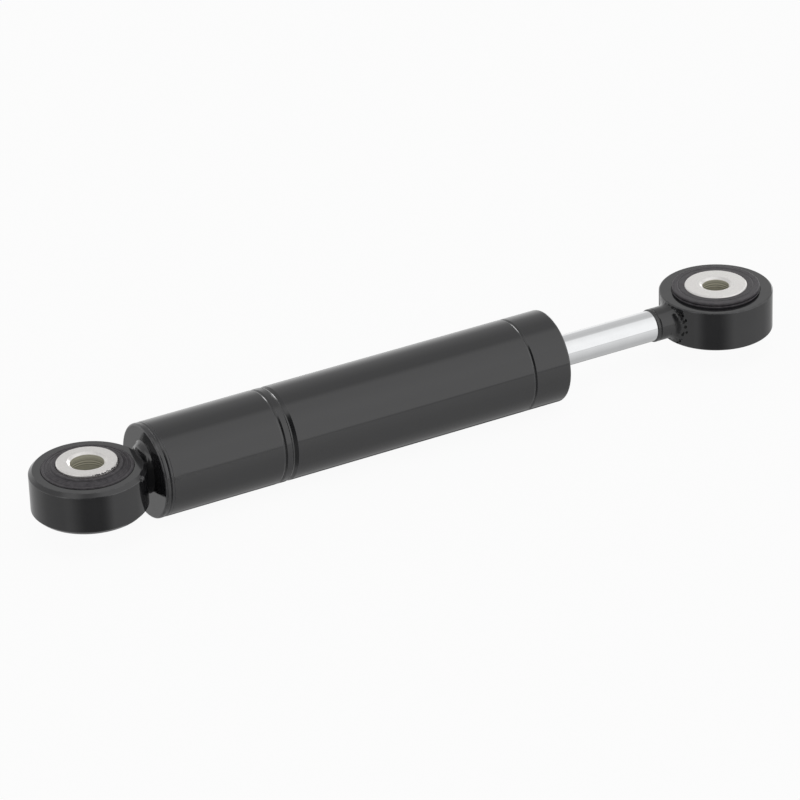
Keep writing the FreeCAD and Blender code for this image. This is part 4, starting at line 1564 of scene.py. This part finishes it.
@dataclass(frozen=True)
class StudioCard:
    """An upright card that only reflections see, soft along its edges, where level 1 is white."""

    name: str
    place: tuple[float, float]
    width: float
    low: float
    high: float
    level: float
    feather: float = 0.4

    def stand(self, aim: Vector) -> None:
        """Stand the card with its face to a point.

        Args:
            aim: The point.
        """
        foot = Vector((*self.place, 0))
        facing = Vector((aim.x - foot.x, aim.y - foot.y, 0)).normalized()
        side = Vector((facing.y, -facing.x, 0)) * self.width / 2
        corners = [foot - side, foot + side, foot + side, foot - side]
        for corner, height in zip(corners, (self.low, self.low, self.high, self.high)):
            corner.z = height
        mesh = bpy.data.meshes.new(self.name)
        mesh.from_pydata([tuple(corner) for corner in corners], [], [(0, 1, 2, 3)])
        spread = mesh.uv_layers.new(name="card")
        for corner, place in zip(spread.data, ((0, 0), (1, 0), (1, 1), (0, 1))):
            corner.uv = place
        mesh.materials.append(self._material())
        card = new_object(self.name, mesh)
        card.visible_camera = False
        card.visible_diffuse = False
        card.visible_transmission = False
        card.visible_shadow = False

    def _material(self) -> Material:
        """Make the card's face, clear along its edges.

        Returns:
            The material.
        """
        material = bpy.data.materials.new(self.name)
        sheet = NodeSheet.bare(material)
        parts = sheet.parts(sheet.place("UV"))
        fades = []
        for label in ("X", "Y"):
            from_middle = sheet.math("ABSOLUTE", sheet.math("SUBTRACT", parts[label], 0.5))
            fades.append(sheet.eased(sheet.math("SUBTRACT", 0.5, from_middle), 0.0, self.feather))
        clear = sheet.chain("ShaderNodeBsdfTransparent")
        glow = sheet.chain("ShaderNodeEmission", Strength=self.level)
        sheet.surface(sheet.blend(sheet.math("MULTIPLY", *fades), clear, glow))
        return material


@dataclass
class Studio:
    """The pale floor, the soft light and the camera of the picture.

    The walls are given as an angle in degrees and a brightness. The angle is 0 at the front horizon, 90
    overhead, 180 at the back horizon and negative below.
    """

    azimuth: float = -28.573
    elevation: float = 27.291
    roll: float = 2.037
    distance: float = 1.40719
    aim: Place = (0.10727, -0.00132, 0.0)
    lens: float = 203.09
    sensor: float = 36.0
    far: float = 100.0
    floor_radius: float = 12.0
    floor_segments: int = 96
    floor_tone: Colour = (0.62, 0.62, 0.62)
    floor_white: float = 0.94
    walls_in_gloss: float = 0.1
    walls: tuple[tuple[float, float], ...] = (
        (-180, 0.95), (-165, 0.9), (-150, 0.58), (-130, 0.42), (-70, 0.43), (-40, 0.56), (-6, 0.72),
        (-4, 0.45), (-2, 1.0), (45, 1.0), (85, 0.87), (97, 0.53), (115, 0.5), (140, 0.56), (152, 0.58),
        (170, 0.88), (180, 0.95))
    lamps: tuple[SoftLamp, ...] = (SoftLamp("top_softbox", (0.1, -0.5, 1.5), 1.6, 1.0, 0.5),)
    cards: tuple[StudioCard, ...] = (
        StudioCard("camera_side_card", (-0.145, -0.474), 1.07, -1.5, 1.2, 0.19),
        StudioCard("camera_dark_card", (-0.12, -0.427), 0.9, -0.15, 0.95, 0.01),
        StudioCard("low_dark_card", (0.637, 0.848), 0.5, -1.2, -0.25, 0.1, 0.2),
        StudioCard("right_side_card", (3.24, 2.52), 1.8, -0.15, 1.86, 3.6, 0.25))

    def build(self) -> None:
        """Set up the whole studio."""
        self._floor()
        self._world()
        for lamp in self.lamps:
            lamp.hang(Vector(self.aim))
        for card in self.cards:
            card.stand(Vector(self.aim))
        self._camera()
        bpy.context.scene.view_settings.view_transform = "Standard"

    def _floor(self) -> None:
        """Lay a round floor under the lowest point of the object."""
        mesh = bpy.data.meshes.new("floor")
        work = bmesh.new()
        bmesh.ops.create_circle(work, cap_ends=True, radius=self.floor_radius, segments=self.floor_segments)
        work.to_mesh(mesh)
        work.free()
        mesh.transform(Matrix.Translation((*self.aim[:2], CAD_BOX[0].z)))
        mesh.materials.append(self._floor_material())
        new_object("floor", mesh)

    def _floor_material(self) -> Material:
        """Make a pale floor with a soft shadow; it is near white to the camera and clear to reflections.

        Returns:
            The material.
        """
        material = bpy.data.materials.new("pale_floor")
        sheet = NodeSheet.bare(material)
        matt = sheet.chain("ShaderNodeBsdfDiffuse", Color=(*self.floor_tone, 1))
        white = sheet.chain("ShaderNodeEmission")
        clear = sheet.chain("ShaderNodeBsdfTransparent")
        seen, glossy = sheet.rays()
        pale = sheet.blend(sheet.math("MULTIPLY", seen, self.floor_white), matt, white)
        sheet.surface(sheet.blend(glossy, pale, clear))
        return material

    def _world(self) -> None:
        """Make the walls of the studio, white to the camera."""
        world = bpy.data.worlds.new("studio")
        bpy.context.scene.world = world
        sheet = NodeSheet.bare(world)
        parts = sheet.parts(sheet.place("Generated"))
        rise = sheet.math("ARCTAN2", parts["Z"], sheet.math("MULTIPLY", parts["Y"], -1.0))
        ramp = sheet.add("ShaderNodeValToRGB", sheet.math("MULTIPLY_ADD", rise, 0.5 / math.pi, 0.5))
        stops = ramp.color_ramp.elements
        for angle, _ in self.walls[1:-1]:
            stops.new(angle / 360 + 0.5)
        for stop, (angle, level) in zip(stops, self.walls):
            stop.position = angle / 360 + 0.5
            stop.color = (level, level, level, 1)
        walls = sheet.chain("ShaderNodeBackground", Color=ramp.outputs["Color"])
        white = sheet.chain("ShaderNodeBackground", Color=(1, 1, 1, 1))
        seen, glossy = sheet.rays()
        share = sheet.math("MULTIPLY_ADD", glossy, self.walls_in_gloss, seen)
        sheet.surface(sheet.blend(share, walls, white), "ShaderNodeOutputWorld")

    def _camera(self) -> None:
        """Set the camera where the photograph was taken from."""
        turn, rise = math.radians(self.azimuth), math.radians(self.elevation)
        back = Vector((math.sin(turn) * math.cos(rise), -math.cos(turn) * math.cos(rise), math.sin(rise)))
        level = (-back).to_track_quat("-Z", "Y").to_matrix().to_4x4()
        tilt = Matrix.Rotation(-math.radians(self.roll), 4, "Z")
        data = bpy.data.cameras.new("photo_camera")
        data.lens = self.lens
        data.sensor_width = self.sensor
        data.clip_end = self.far
        camera = new_object("photo_camera", data)
        camera.matrix_world = Matrix.Translation(Vector(self.aim) + back * self.distance) @ level @ tilt
        bpy.context.scene.camera = camera


def main() -> None:
    """Build and dress every sub-assembly in order."""
    logging.basicConfig(level=logging.INFO, format="%(name)s: %(message)s")
    sub_assemblies = (
        EyeRing("body_eye_ring", 3.8, 1.2),
        BodyRubber(),
        Sleeve("body_bush_sleeve", "body_eye_bore", body=Body.BODY_SLEEVE),
        BaseCap(),
        BossWeld(),
        Tube(),
        RodHead(),
        PistonRod(body=Body.ROD),
        NeckWeld(body=Body.ROD),
        EyeRing("rod_eye_ring", 4.05, 0.3, body=Body.ROD),
        RodRubber(body=Body.ROD),
        Sleeve("rod_bush_sleeve", "rod_eye_bore", body=Body.ROD_SLEEVE),
        IntakeSpring(),
        InnerPieces(),
    )
    for sub_assembly in sub_assemblies:
        sub_assembly.dress()
    Studio().build()


if __name__ == "__main__":
    main()
